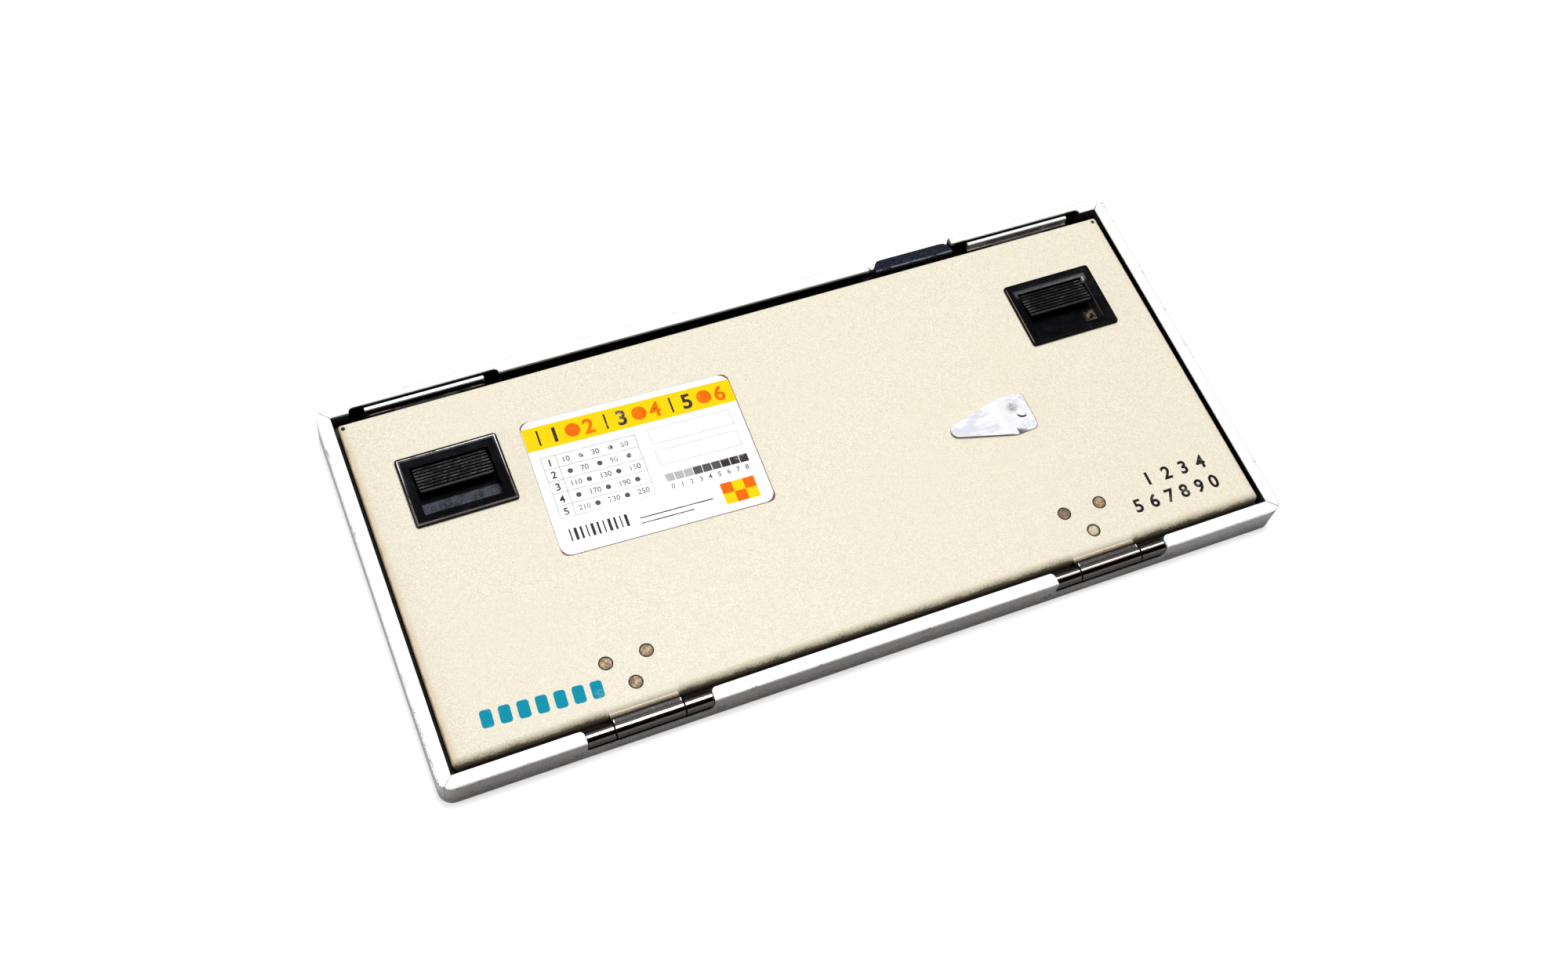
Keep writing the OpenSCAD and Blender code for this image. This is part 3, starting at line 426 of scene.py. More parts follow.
def hinge_steel():
    """Black nickel: polished knuckles with painted highlight, reflection and shade bands, a satin, speckled
    leaf and a dark line at each joint.
    """
    p = Paint("hinge_steel", metallic=1.0, specular_ior_level=0.08)
    turned = p.noise(0.16, 3, 0.6, (1, 40, 40))
    cloud = p.noise(3, 4, 0.6)
    fine = p.noise(0.35, 4, 0.75)
    p.base = p.mix(turned.step(0.3, 0.7), (0.075, 0.065, 0.06), (0.1, 0.09, 0.085))
    p.coat(cloud.step(0.5, 0.72), (0.07, 0.055, 0.05))
    # painted light in bands along each knuckle, by distance past the pin: a pale painted highlight on the
    # crest, black painted reflection, then a dull lower band of painted reflection
    edge = p.noise(1.6, 4, 0.7, (5, 1, 1)).spread(-0.1, 0.1)
    past = p.y - HINGE_Y + edge
    upper = p.z.step(HINGE_Z, HINGE_Z + 0.4)
    satin = p.mix(fine.step(0.38, 0.62), (0.035, 0.031, 0.03), (0.085, 0.077, 0.076))
    # painted shade on the top of each knuckle behind the crest
    shade = p.mix(past.step(1.7, 0.4), (0.01, 0.009, 0.008), (0.075, 0.072, 0.064))
    p.coat(upper * past.step(0.25, 0.4) * 0.9, shade)
    right = p.x.step(-0.5, 0.5)
    crest = past.step(-0.62, -0.48) * past.step(0.24, 0.1) * upper
    # the crest's painted highlight is full on the left-hand hinge and dims towards the outer side on the
    # right-hand one
    worn = p.mix(past.step(-0.1, -0.25), (0.86, 0.83, 0.8), (0.3, 0.25, 0.21))
    p.coat(crest, p.mix(right, (0.86, 0.83, 0.8), worn))
    black = past.step(-0.55, -0.7) * past.step(-2.0, -1.85) * upper
    p.coat(black, (0.008, 0.005, 0.005))
    lower = past.step(-1.95, -2.1) * past.step(-2.8, -2.6) * upper
    p.coat(lower, p.mix(fine.step(0.35, 0.6), (0.08, 0.068, 0.068), (0.17, 0.15, 0.145)))
    # the flat of the leaf beside the knuckle, with a painted glint near each of its ends
    along = abs(abs(p.x) - HINGE_X) - KNUCKLE_HALF
    flat = past.step(1.6, 1.7) * p.z.step(KNUCKLE_TOP - 0.5, KNUCKLE_TOP - 0.4)
    satin = p.mix(p.specks(2.1, 0.09, 0.5) * 0.9, satin, (0.75, 0.73, 0.7))
    p.coat(flat, satin)
    tip = flat * along.step(-0.62, -0.5) * along.step(-0.28, -0.36) * fine.step(0.3, 0.5)
    p.coat(tip * 0.9, (0.85, 0.84, 0.82))
    # the leaf behind its shoulder takes the lid's cream, with painted shade: black next to the shoulder,
    # then a brown ramp into the cream, as on the shaded roll beside it
    behind = past.step(2.3, 2.45) * p.z.step(KNUCKLE_TOP - 1.3, KNUCKLE_TOP - 1.4)
    shade_reach = past + p.noise(0.45, 4, 0.85).spread(-0.9, 0.9)
    paint = p.mix(shade_reach.step(4.2, 5.0), (0.08, 0.06, 0.035), (0.27, 0.215, 0.135))
    paint = p.mix(shade_reach.step(4.9, 5.7), paint, (0.66, 0.61, 0.49))
    paint = p.mix(past.step(4.3, 4.0), paint, (0.008, 0.006, 0.004))
    joint = abs(along - 0.1).step(0.42, 0.28)
    p.coat(joint, (0.008, 0.007, 0.006))
    p.coat(behind, paint)
    bands = crest | lower | upper * past.step(0.25, 0.4)
    dull = bands | (behind | joint)
    rough = cloud.spread(0.16, 0.24) + dull * 0.35
    ripple = p.bump(p.noise(2.2, 2, 0.5, (4, 1, 1)), 0.03, p.bump(turned, 0.003))
    metallic = (behind | lower).spread(1.0, 0.0)
    return p.done(roughness=rough, metallic=metallic, normal=p.bump(fine * flat, 0.05, ripple))


def rivet_bronze():
    """Dull bronze heads, mottled brown, with a dark rim and a pale rubbed middle."""
    p = Paint("rivet_bronze", metallic=0.15, specular_ior_level=0.25)
    cloud = p.noise(1.6, 4, 0.75)
    fine = p.noise(0.25, 4, 0.7)
    p.base = p.mix(cloud.step(0.38, 0.62), (0.17, 0.115, 0.065), (0.43, 0.33, 0.21))
    p.coat(fine.step(0.52, 0.68) * 0.7, (0.1, 0.065, 0.035))
    p.coat(p.noise(0.8, 4, 0.7).step(0.56, 0.68) * 0.8, (0.58, 0.49, 0.36))
    shade = p.x.step(HINGE_X - 2.0, HINGE_X - 4.0) * p.x.step(0, 1) * fine.step(0.2, 0.6)
    p.coat(shade * 0.8, (0.085, 0.055, 0.038))
    # distance from the nearest rivet's middle
    low, high = box_mm("hinge_rivets")
    side = abs(abs(p.x) - HINGE_X)
    aside = side - (high.x - RIVET_HEAD - HINGE_X)
    from_far, from_near = p.y - (high.y - RIVET_HEAD), p.y - (low.y + RIVET_HEAD)
    near = distance(side, from_near)
    far = distance(aside, from_far)
    away = near & far
    p.coat(away.step(1.0, 2.2) * cloud.step(0.7, 0.45) * 0.7, (0.12, 0.08, 0.048))
    pale = near.step(1.95, 1.5) * p.x.step(0, 1) * fine.step(0.7, 0.4) * 0.75
    p.coat(pale, (0.66, 0.57, 0.45))
    p.coat(away.step(2.04, 2.26) * 0.97, (0.018, 0.013, 0.008))
    return p.done(roughness=cloud.spread(0.7, 0.5), normal=p.bump(fine, 0.02, p.bump(cloud, 0.08)))


def thumb_plastic():
    """Black thumb piece with dust caught on the tops of its ribs, and painted shade in its grooves and on
    the face under its ridge.
    """
    p = Paint("thumb_plastic", specular_ior_level=0.06)
    low, high = box_mm("latch_thumb_right")
    left = p.x.step(0.5, -0.5)
    fine = p.noise(0.3, 3, 0.6)
    cloud = p.noise(5, 4, 0.65)
    # height above the sloping face between the ribs
    slope = THUMB_FALL / (high.y - low.y - 0.8)
    face = high.z - (p.y - (low.y + 0.8)) * slope
    over = p.z - face
    crest = over.step(0.03, 0.14) * p.y.step(low.y + 0.9, low.y + 1.1)
    groove = over.step(0.09, 0.01) * p.y.step(low.y + 0.9, low.y + 1.1)
    ridge = p.z.step(high.z - 0.55, high.z - 0.35) * p.y.step(low.y + 0.95, low.y + 0.8)
    p.base = p.mix(cloud.step(0.4, 0.7), (0.006, 0.006, 0.007), (0.011, 0.011, 0.012))
    patch = p.noise(2.6, 4, 0.7, (1.5, 1, 1)).step(0.4, 0.6).spread(0.2, 1.0)
    dust = crest * p.noise(0.5, 4, 0.75, (2.2, 1, 1)).step(0.36, 0.6) * patch
    p.coat(dust * left.spread(0.2, 0.75), (0.075, 0.075, 0.073))
    bright = crest * p.noise(0.7, 4, 0.85, (2.2, 1, 1)).step(0.58, 0.64) * patch
    p.coat(bright * left.spread(0.2, 0.55), (0.42, 0.39, 0.35))
    # broken streaks at the ends of the right-hand ribs
    ends = abs(abs(p.x) - LATCH_X)
    ends = crest * ends.step(high.x - LATCH_X - 3.4, high.x - LATCH_X - 1.8) * fine.step(0.4, 0.6)
    p.coat(ends * patch * left.spread(0.4, 0.15), (0.24, 0.215, 0.185))
    p.coat(ridge * fine.step(0.3, 0.7) * 0.8, 0.05)
    # painted shade: the grooves between the ribs and the face under the ridge are near black
    p.coat(groove, 0.0005)
    below = p.y.step(low.y + 0.7, low.y + 0.5) * p.z.step(high.z - 0.5, high.z - 0.75)
    p.coat(below, 0.001)
    dark = groove | below
    return p.done(roughness=fine.spread(0.3, 0.5), metallic=dark * 0.95, normal=p.bump(fine, 0.01))


def matt_black(name, colour, worn):
    """Blackened metal or plastic with a fine grain and lighter rubbed patches."""
    p = Paint(name, specular_ior_level=0.2)
    fine = p.noise(0.18, 3, 0.6)
    p.base = p.mix(p.noise(4.5, 4, 0.65).step(0.45, 0.75), colour, worn)
    return p.done(roughness=fine.spread(0.48, 0.75), normal=p.bump(fine, 0.006))


def housing_plastic():
    """Glossy black housing: a bright line inside its rim, partly rubbed wear and partly painted highlight,
    and a grained, dusty floor, bare in front of the thumb as painted shadow.
    """
    p = Paint("housing_plastic", specular_ior_level=0.12)
    fine = p.noise(0.3, 4, 0.75)
    cloud = p.noise(4, 4, 0.65)
    p.base = p.mix(cloud.step(0.45, 0.7), (0.0015, 0.0015, 0.002), (0.005, 0.005, 0.0065))
    low, high = box_mm("latch_housing_right")
    half_x, half_y = (high.x - low.x) / 2, (high.y - low.y) / 2
    from_x = abs(abs(p.x) - LATCH_X) - half_x
    from_y = abs(p.y - (low.y + high.y) / 2) - half_y
    inset = (from_x | from_y) * -1.0
    on_top = p.z.step(CASE_H - 0.3, CASE_H - 0.12)
    # the bright line inside the rim is partly rubbed wear and partly painted highlight, lighter towards the
    # far side
    line = on_top * inset.step(0.72, 0.8) * inset.step(1.08, 1.0)
    streak = p.noise(6, 4, 0.7).step(0.38, 0.56).spread(0.15, 1.0)
    left = p.x.step(0.5, -0.5)
    upper = (p.y + p.x * 0.35).step(low.y - 37, high.y - 37)
    rim_wear_and_highlight = line * streak * fine.step(0.26, 0.5) * left
    p.coat(rim_wear_and_highlight, p.mix(upper, (0.22, 0.19, 0.19), (0.88, 0.85, 0.9)))
    # the right-hand housing shows a thin worn line along its left edge, and one past its well
    right = 1.0 - left
    worn = (right * on_top * from_x.step(-0.75, -0.62) * from_x.step(-0.38, -0.48)
        * p.x.step(LATCH_X, LATCH_X - 2))
    p.coat(worn * from_y.step(-1.0, -2.0) * fine.step(0.26, 0.5), (0.36, 0.25, 0.22))
    # grey on the lower part of the far slope
    foot = p.z.step(CASE_H - 0.35, CASE_H - 0.85) * p.z.step(CASE_H - 1.1, CASE_H - 1.0)
    foot = foot * left.spread(1.0, 0.0) * fine.step(0.3, 0.65) * p.y.step(high.y - 7, high.y - 5)
    p.coat(foot * 0.9, (0.13, 0.13, 0.135))
    # a painted highlight: a thin light line down the right-hand slope from a bright corner
    run = right * p.x.step(high.x - 4.6, high.x - 4.5) * p.x.step(high.x - 4.2, high.x - 4.3)
    glow = p.mix(p.y.step(high.y - 6.8, high.y - 5.8), (0.055, 0.055, 0.06), (0.75, 0.72, 0.74))
    p.coat(run * p.y.step(low.y + 4, low.y + 6) * p.y.step(high.y - 4.2, high.y - 4.6), glow)
    # the near side of the rim is brown with handling
    hand = (on_top * inset.step(0.25, 0.5) * p.y.step((low.y + high.y) / 2, low.y + 3)
        * inset.step(1.2, 1.05) * fine.step(0.3, 0.6))
    p.coat(hand * left.spread(0.0, 0.9), (0.1, 0.08, 0.08))
    flecks = on_top * inset.step(1.4, 1.2) * p.noise(0.6, 4, 0.75).step(0.62, 0.68)
    p.coat(flecks * 0.5, (0.25, 0.22, 0.25))
    # dust: much on the left-hand floor, but none in a band in front of the thumb, left black as painted
    # shadow, and a brown patch in the right-hand one's corner
    floor = p.z.step(low.z + 0.85, low.z + 0.75)
    outside_thumb_shadow = p.y.step(box_mm("latch_thumb_right")[0].y - 2.0, box_mm("latch_thumb_right")[0].y - 2.5)
    dust = floor * left * outside_thumb_shadow * fine.step(0.38, 0.62) * cloud.step(0.35, 0.6).spread(0.3, 1.0)
    p.coat(dust, (0.085, 0.09, 0.12))
    spot = (floor * p.x.step(LATCH_X + 9.5, LATCH_X + 11.5) * fine.step(0.42, 0.6)
        * p.y.step(31.5, 30.0) * p.y.step(24.0, 26.0) * p.noise(2.4, 3, 0.6).step(0.42, 0.52))
    p.coat(spot, (0.26, 0.19, 0.13))
    slope = p.z.step(CASE_H - 0.12, CASE_H - 0.2) * p.z.step(low.z + 1.5, low.z + 2.0)
    rough = fine.spread(0.14, 0.24) + (floor | slope) * 0.4
    quiet = slope * from_x.step(-0.5, -1.2) * from_y.step(-0.5, -1.2)
    quiet = quiet | floor * (right | 1.0 - outside_thumb_shadow)
    quiet = quiet | on_top * (1.0 - (rim_wear_and_highlight | hand)) * 0.8
    normal = p.bump(fine * floor.spread(0.1, 1.0), 0.03)
    return p.done(roughness=rough, metallic=quiet * 0.8 * (1.0 - spot), normal=normal)


def bolt_chrome():
    """Bright plating, partly painted highlight, on the top of the nose bar, and dull faces below it, black
    as painted shade on the left-hand bar.
    """
    p = Paint("bolt_chrome", specular_ior_level=0.15)
    lines = p.noise(0.25, 3, 0.6, (12, 1, 1))
    fine = p.noise(0.4, 4, 0.75)
    cloud = p.noise(7, 3, 0.6)
    top = p.z.step(NOSE_TOP - 0.95, NOSE_TOP - 0.8)
    dull = p.mix(fine.step(0.4, 0.62), (0.06, 0.055, 0.05), (0.16, 0.15, 0.14))
    dull = p.mix(cloud.step(0.6, 0.72) * 0.3, dull, (0.4, 0.37, 0.34))
    foot = box_mm("latch_bolt_right")[0].z + 1.5
    # painted shade: the faces below the top are black
    face = p.z.step(foot - 0.2, foot)
    dull = p.mix(face, dull, p.mix(fine, 0.004, (0.014, 0.016, 0.014)))
    # the right-hand bar is dull grey where the left-hand one is black
    right = p.x.step(-0.5, 0.5)
    tarnish = p.mix(fine.step(0.36, 0.6), (0.08, 0.074, 0.068), (0.22, 0.205, 0.19))
    tarnish = p.mix(p.noise(5, 4, 0.6).step(0.48, 0.6) * 0.7, tarnish, (0.46, 0.42, 0.36))
    dull = p.mix(face * right, dull, tarnish)
    jag = p.y + cloud.step(0.35, 0.65).spread(-0.25, 0.2)
    ledge = face * p.z.step(foot + 0.85, foot + 0.7) * jag.step(NOSE_Y - 0.45, NOSE_Y - 0.65)
    dull = p.mix(ledge * fine.step(0.3, 0.5) * 0.9, dull, (0.4, 0.33, 0.3))
    end = p.x - p.x.math("SIGN") * LATCH_X
    end = face * end.step(NOSE_HALF - 0.4, NOSE_HALF - 0.28) * p.z.step(foot + 0.9, foot + 1.2)
    dull = p.mix(end * 0.8, dull, (0.5, 0.48, 0.44))
    # painted shade on the plate deep behind the nose
    deep = p.y.step(NOSE_Y - 0.5, NOSE_Y - 0.7) * p.z.step(NOSE_TOP - 1.6, NOSE_TOP - 1.8)
    dull = p.mix(deep, dull, (0.015, 0.014, 0.013))
    # the bright top is plating, partly painted highlight
    bright = p.mix(lines, (0.8, 0.8, 0.81), (0.92, 0.92, 0.93))
    p.base = p.mix(top, dull, bright)
    plain = ledge | end | face * right
    plain = plain * (1.0 - top)
    metallic = plain.spread(1.0, 0.1) * top.spread(1.0, 0.3)
    return p.done(roughness=top.spread(0.5, 0.3), metallic=metallic, normal=p.bump(lines, 0.004))


def fibre(name, dark, light, size, depth):
    """Felt or foam: short fibres or open pores."""
    p = Paint(name, roughness=0.95, sheen_weight=0.4, sheen_roughness=0.5)
    pile = p.noise(size, 5, 0.75, distortion=1.2)
    p.base = p.mix(pile.step(0.35, 0.7), dark, light)
    return p.done(normal=p.bump(pile, depth))


def screen_coat():
    """Ivory phosphor coat under a clear film, faintly yellowed at the edges."""
    p = Paint("screen_coat", roughness=0.35, specular_ior_level=0.4)
    high = box_mm("front_screen")[1]
    fine = p.noise(0.12, 3, 0.6)
    cloud = p.noise(35, 4, 0.5)
    stain = p.noise(9, 4, 0.65)
    p.base = p.mix(fine, (0.58, 0.58, 0.54), (0.64, 0.64, 0.605))
    p.coat(cloud * 0.3, (0.58, 0.565, 0.5))
    p.coat(stain.step(0.62, 0.74) * 0.3, (0.5, 0.48, 0.41))
    hair = p.noise(0.6, 2, 0.5, (1, 40, 1), 0.5).step(0.72, 0.76)
    p.coat(hair * cloud.step(0.5, 0.62) * 0.35, (0.42, 0.41, 0.38))
    in_x = high.x - abs(p.x)
    in_y = high.y - abs(p.y)
    rim = (in_x & in_y).step(4.0, 0.2)
    p.coat(rim * 0.5, (0.52, 0.47, 0.34))
    return p.done(normal=p.bump(fine, 0.002))


def front_sheet():
    """Satin aluminium front panel, brushed along its length, with hairline scuffs."""
    p = Paint("front_sheet", metallic=0.85)
    lines = p.noise(0.2, 4, 0.65, (60, 1, 1))
    cloud = p.noise(30, 3, 0.5)
    scuff = p.noise(0.5, 3, 0.6, (1, 24, 1), 0.4).step(0.66, 0.72) * cloud.step(0.5, 0.7)
    p.base = p.mix(lines.step(0.3, 0.7), (0.5, 0.505, 0.51), (0.64, 0.645, 0.65))
    p.coat(scuff * 0.6, 0.36)
    return p.done(roughness=lines.spread(0.3, 0.45), normal=p.bump(lines, 0.005))


def print_ink(name, colour, paper, wear=0.0):
    """Printed ink that lets the ground through where it has rubbed off."""
    p = Paint(name, roughness=0.5, specular_ior_level=0.04)
    fine = p.noise(0.3, 3, 0.6)
    dark = tuple(c * 0.86 for c in colour)
    p.base = p.mix(fine, dark, colour)
    if wear:
        rubbed = p.noise(9, 3, 0.6).step(0.56, 0.64) * p.noise(0.9, 5, 0.75).step(0.44, 0.54)
        p.coat(rubbed * wear, paper)
    return p.done(normal=p.bump(fine, 0.004))


def tab_plastic():
    """Dark blue moulding with a coarse spark-eroded grain, a painted highlight along its ridge and painted
    shade under its near face.
    """
    p = Paint("tab_plastic", specular_ior_level=0.05)
    high = box_mm("lift_tab")[1]
    ridge_y = HALF_Y - LIP_W - 0.7
    grain = p.noise(0.55, 4, 0.8)
    fine = p.noise(0.3, 3, 0.7)
    p.base = p.mix(grain.step(0.4, 0.62), (0.002, 0.0035, 0.008), (0.012, 0.015, 0.026))
    p.coat(p.noise(0.5, 3, 0.85).step(0.56, 0.62) * 0.7, (0.07, 0.074, 0.098))
    from_ridge = p.y - ridge_y
    # painted highlight: a light line along the ridge
    rubbed = (from_ridge.step(0.75, 0.5) * from_ridge.step(0.05, 0.2)
        * p.z.step(high.z - 0.5, high.z - 0.3))
    run = p.noise(5, 3, 0.7).step(0.38, 0.5)
    p.coat(rubbed * run * fine.step(0.3, 0.55), (0.17, 0.175, 0.2))
    face = from_ridge.step(0.12, 0.02) * p.z.step(high.z - 2.3, high.z - 1.6)
    p.coat(face * 0.9, (0.028, 0.031, 0.045))
    # painted shade: black below the near face
    under = p.z.step(high.z - 2.0, high.z - 2.4)
    p.coat(under, (0.002, 0.002, 0.003))
    normal = p.bump(grain * p.z.step(high.z - 0.6, high.z - 0.4), 0.06)
    return p.done(roughness=grain.spread(0.45, 0.6) + under * 0.3, normal=normal)


def pointer_metal():
    """Thin bright aluminium leaf, faintly streaked and smudged round its rivet, with painted shade in its
    dimple, at its bend and round the rivet's dome, and a painted shadow line at its edge.
    """
    p = Paint("pointer_aluminium", metallic=0.08, specular_ior_level=0.12)
    low, high = box_mm("swivel_pointer")
    u, v = p.about(*PIVOT)
    lines = p.noise(0.5, 4, 0.65, (14, 1, 1))
    fine = p.noise(0.3, 4, 0.75)
    away = distance(u, v)
    p.base = p.mix(lines.step(0.3, 0.7), (0.655, 0.655, 0.665), (0.7, 0.7, 0.71))
    streak = p.noise(3.0, 4, 0.6, (4, 1, 1)).step(0.44, 0.6) * u.step(-9.0, -13.0)
    p.coat(streak * 0.85, (0.49, 0.485, 0.55))
    head = u.step(-4.6, -3.4) * p.noise(1.1, 4, 0.75).step(0.4, 0.64) * away.step(1.9, 2.1)
    p.coat(head * away.step(3.0, 5.0).spread(0.45, 0.75), (0.46, 0.45, 0.52))
    pit_u, pit_v = u + 2.5, v - 3.0
    pit_away = distance(pit_u, pit_v)
    rings = (away * 9.0).math("SINE").step(-0.4, 0.6)
    scuff = pit_away.step(4.4, 1.6) * rings.spread(0.35, 1.0) * fine.step(0.35, 0.6) * away.step(1.9, 2.1)
    p.coat(scuff * 0.7, (0.28, 0.28, 0.3))
    # painted shade in the dimple
    pit = pit_away.step(2.5, 1.0) * fine.step(0.34, 0.62) * away.step(1.9, 2.1)
    p.coat(pit * 0.9, (0.1, 0.1, 0.11))
    # painted shade at the near end of the bend
    wedge = u.step(-5.3, -4.8) * (v + u * 0.41).step(-7.4, -9.0) * u.step(1.5, -3.5)
    p.coat(wedge * fine.step(0.2, 0.5), (0.08, 0.08, 0.09))
    toward = v * 0.95 + u * 0.32
    shade = away.step(2.5, 2.3) * away.step(1.8, 1.9) * toward.step(-1.1, -1.5)
    p.coat(shade, 0.003)
    # painted shadow: a dark line on the edge along the near side and round the wide end
    rise = u.step(BEND_START, BEND_END) * BEND_RISE + u.step(1.6, 2.8) * 0.1
    rim = (p.z - rise).step(low.z + 0.34, low.z + 0.26)
    seen = v.step(2.0, -1.0) | u.step(1.2, 2.4)
    p.coat(rim * seen, (0.05, 0.035, 0.02))
    # painted shadow: a dark line along the top at the wide end
    end = high.x - PIVOT[0]
    outline = u.step(end - 0.26, end - 0.12) * fine.step(0.25, 0.4)
    p.coat(outline * 0.8, (0.13, 0.09, 0.05))
    return p.done(roughness=lines.spread(0.42, 0.52), normal=p.bump(lines, 0.003))


PAPER = (0.66, 0.66, 0.665)
YELLOW = (0.8, 0.55, 0.0)
CREAM = (0.7, 0.65, 0.53)
# the card's length, width and turn in degrees
LABEL = (81.7, 57.3, -2.1)


def label_card():
    """Coated white card, a little grubby, with a purple-grey cut edge."""
    p = Paint("label_card", roughness=0.32, specular_ior_level=0.45)
    fine = p.noise(0.4, 3, 0.6)
    cloud = p.noise(14, 4, 0.6)
    p.base = p.mix(fine, (0.7, 0.7, 0.705), 0.76)
    p.coat(cloud.step(0.52, 0.75) * 0.3, (0.62, 0.61, 0.58))
    x, y = middle("info_label")[:2]
    u, v = p.about(x - 0.1, y + 0.1, LABEL[2])
    in_edge = p.inset(u, v, LABEL[0] / 2, LABEL[1] / 2, 4.4)
    ragged = p.noise(1.2, 4, 0.7).spread(-0.08, 0.08)
    cut = (in_edge + ragged).step(0.26, 0.12)
    p.coat(cut | p.z.step(PLATE_TOP + 0.13, PLATE_TOP + 0.08), (0.13, 0.028, 0.055))
    return p.done(normal=p.bump(cloud, 0.03))


MATERIALS = {
    "rail_x": rail_aluminium("rail_x", True),
    "rail_y": rail_aluminium("rail_y", False),
    "lid": lid_paint(),
    "key": matt_black("key_aluminium", 0.01, (0.024, 0.023, 0.022)),
    "front": front_sheet(),
    "screen": screen_coat(),
    "felt": fibre("black_felt", 0.008, (0.035, 0.034, 0.033), 0.18, 0.25),
    "foam": fibre("foam_pad", (0.02, 0.02, 0.022), (0.075, 0.075, 0.08), 0.35, 0.2),
    "hinge": hinge_steel(),
    "pin": metal("pin_steel", (0.60, 0.60, 0.61), 0.25, stretch=(1, 20, 20)),
    "liner": matt_black("liner_paint", 0.02, 0.035),
    "lead": metal("lead_sheet", (0.32, 0.33, 0.36), 0.55, grain=0.8, stain=(0.22, 0.23, 0.25)),
    "rivet": rivet_bronze(),
    "housing": housing_plastic(),
    "thumb": thumb_plastic(),
    "bolt": bolt_chrome(),
    "spring": metal("spring_steel", (0.62, 0.63, 0.66), 0.3, stretch=(1, 14, 14)),
    "guide": metal("guide_steel", (0.58, 0.58, 0.59), 0.4, stain=(0.48, 0.47, 0.43)),
    "tab": tab_plastic(),
    "card": label_card(),
    "pointer": pointer_metal(),
    "yellow": print_ink("label_yellow", YELLOW, PAPER),
    "orange": print_ink("label_orange", (0.72, 0.125, 0.0), YELLOW, 0.15),
    "ink": print_ink("label_ink", (0.035, 0.026, 0.026), PAPER, 0.25),
    "grey": print_ink("label_grey", (0.085, 0.08, 0.08), PAPER, 0.9),
    "hairline": print_ink("label_hairline", (0.4, 0.4, 0.4), PAPER, 0.7),
    "teal": print_ink("teal_ink", (0.0, 0.23, 0.33), CREAM, 0.1),
    "black": print_ink("black_ink", (0.010, 0.009, 0.008), CREAM, 0.1),
}

# nodes by look; a name that ends with _ stands for its left and its right one
LOOK_NODES = {
    "rail_x": ["rail_hinge_side", "rail_latch_side", "hinge_dowels"], "rail_y": ["rail_"],
    "key": ["corner_keys"], "front": ["front_panel"], "screen": ["front_screen", "back_screen"],
    "lid": ["lid_pan"], "liner": ["lid_liner"], "lead": ["lead_foil"], "tab": ["lift_tab"],
    "hinge": ["hinge_leaf_frame_", "hinge_leaf_lid_"], "housing": ["latch_housing_"],
    "pin": ["hinge_pin_", "tab_rivets", "thumb_rivets_"], "guide": ["bolt_guide_"],
    "spring": ["detent_spring_"], "pointer": ["pointer_rivet", "swivel_pointer"],
    "thumb": ["latch_thumb_"], "bolt": ["latch_bolt_"],
}
# width in mm of the small round on a node's edges
EDGE_ROUNDS = {
    "rail_x": 0.12, "rail_y": 0.12, "lid": 0.1, "housing": 0.09, "thumb": 0.09, "bolt": 0.1,
    "hinge": 0.18, "tab": 0.35, "pointer": 0.05, "screen": 0.06, "front": 0.1, "liner": 0.1,
}


def dress(node, look):
    """Gives a CAD node its material, merges its split corners and rounds its sharp edges."""
    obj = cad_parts[node]
    obj.data.materials.clear()
    obj.data.materials.append(MATERIALS[look])
    for face in obj.data.polygons:
        face.use_smooth = True
    weld = obj.modifiers.new("weld", "WELD")
    weld.merge_threshold = 0.002 * MM
    flat = obj.modifiers.new("flat", "DECIMATE")
    flat.decimate_type = "DISSOLVE"
    flat.angle_limit = math.radians(0.4)
    if look in EDGE_ROUNDS:
        bevel = obj.modifiers.new("round", "BEVEL")
        bevel.width = EDGE_ROUNDS[look] * MM
        bevel.segments = 2
        bevel.limit_method = "ANGLE"
        bevel.angle_limit = math.radians(28)
        bevel.harden_normals = False
        bevel.use_clamp_overlap = look != "housing"
    normals = obj.modifiers.new("normals", "WEIGHTED_NORMAL")
    normals.keep_sharp = False


for look, nodes in LOOK_NODES.items():
    for node in nodes:
        for side in ("left", "right") if node.endswith("_") else ("",):
            dress(node + side, look)


# ---------------------------------------------------------------- mesh helpers

def piece(name, points, faces, look, body, slot, smooth=True):
    """A mesh object from points in mm, riding on a body."""
    mesh = bpy.data.meshes.new(name)
    mesh.from_pydata([Vector(p) * MM for p in points], [], faces)
    mesh.validate()
    mesh.update()
    for face in mesh.polygons:
        face.use_smooth = smooth
    obj = bpy.data.objects.new(name, mesh)
    bpy.context.scene.collection.objects.link(obj)
    obj.data.materials.append(MATERIALS[look])
    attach(obj, body)
    return obj


def loft(rings, start=0):
    """Points and faces of a closed solid through rings of equal length, capped at both ends."""
    count = len(rings[0])
    points = [p for ring in rings for p in ring]
    faces = []
    for k in range(len(rings) - 1):
        a = start + k * count
        for i in range(count):
            j = (i + 1) % count
            faces.append((a + i, a + j, a + count + j, a + count + i))
    faces.append(tuple(start + i for i in reversed(range(count))))
    last = start + (len(rings) - 1) * count
    faces.append(tuple(last + i for i in range(count)))
    return points, faces


def solids(parts):
    """Joins several lofts into one list of points and one of faces."""
    points, faces = [], []
    for rings in parts:
        more, shapes = loft(rings, len(points))
        points += more
        faces += shapes
    return points, faces


def circle(cx, cy, z, radius, count=40):
    turn = [2 * math.pi * i / count for i in range(count)]
    return [(cx + radius * math.cos(a), cy + radius * math.sin(a), z) for a in turn]


def lathe(cx, cy, profile, count=40):
    """Rings of a turned solid from (radius, z) pairs, lowest first."""
    return [circle(cx, cy, z, radius, count) for radius, z in profile]


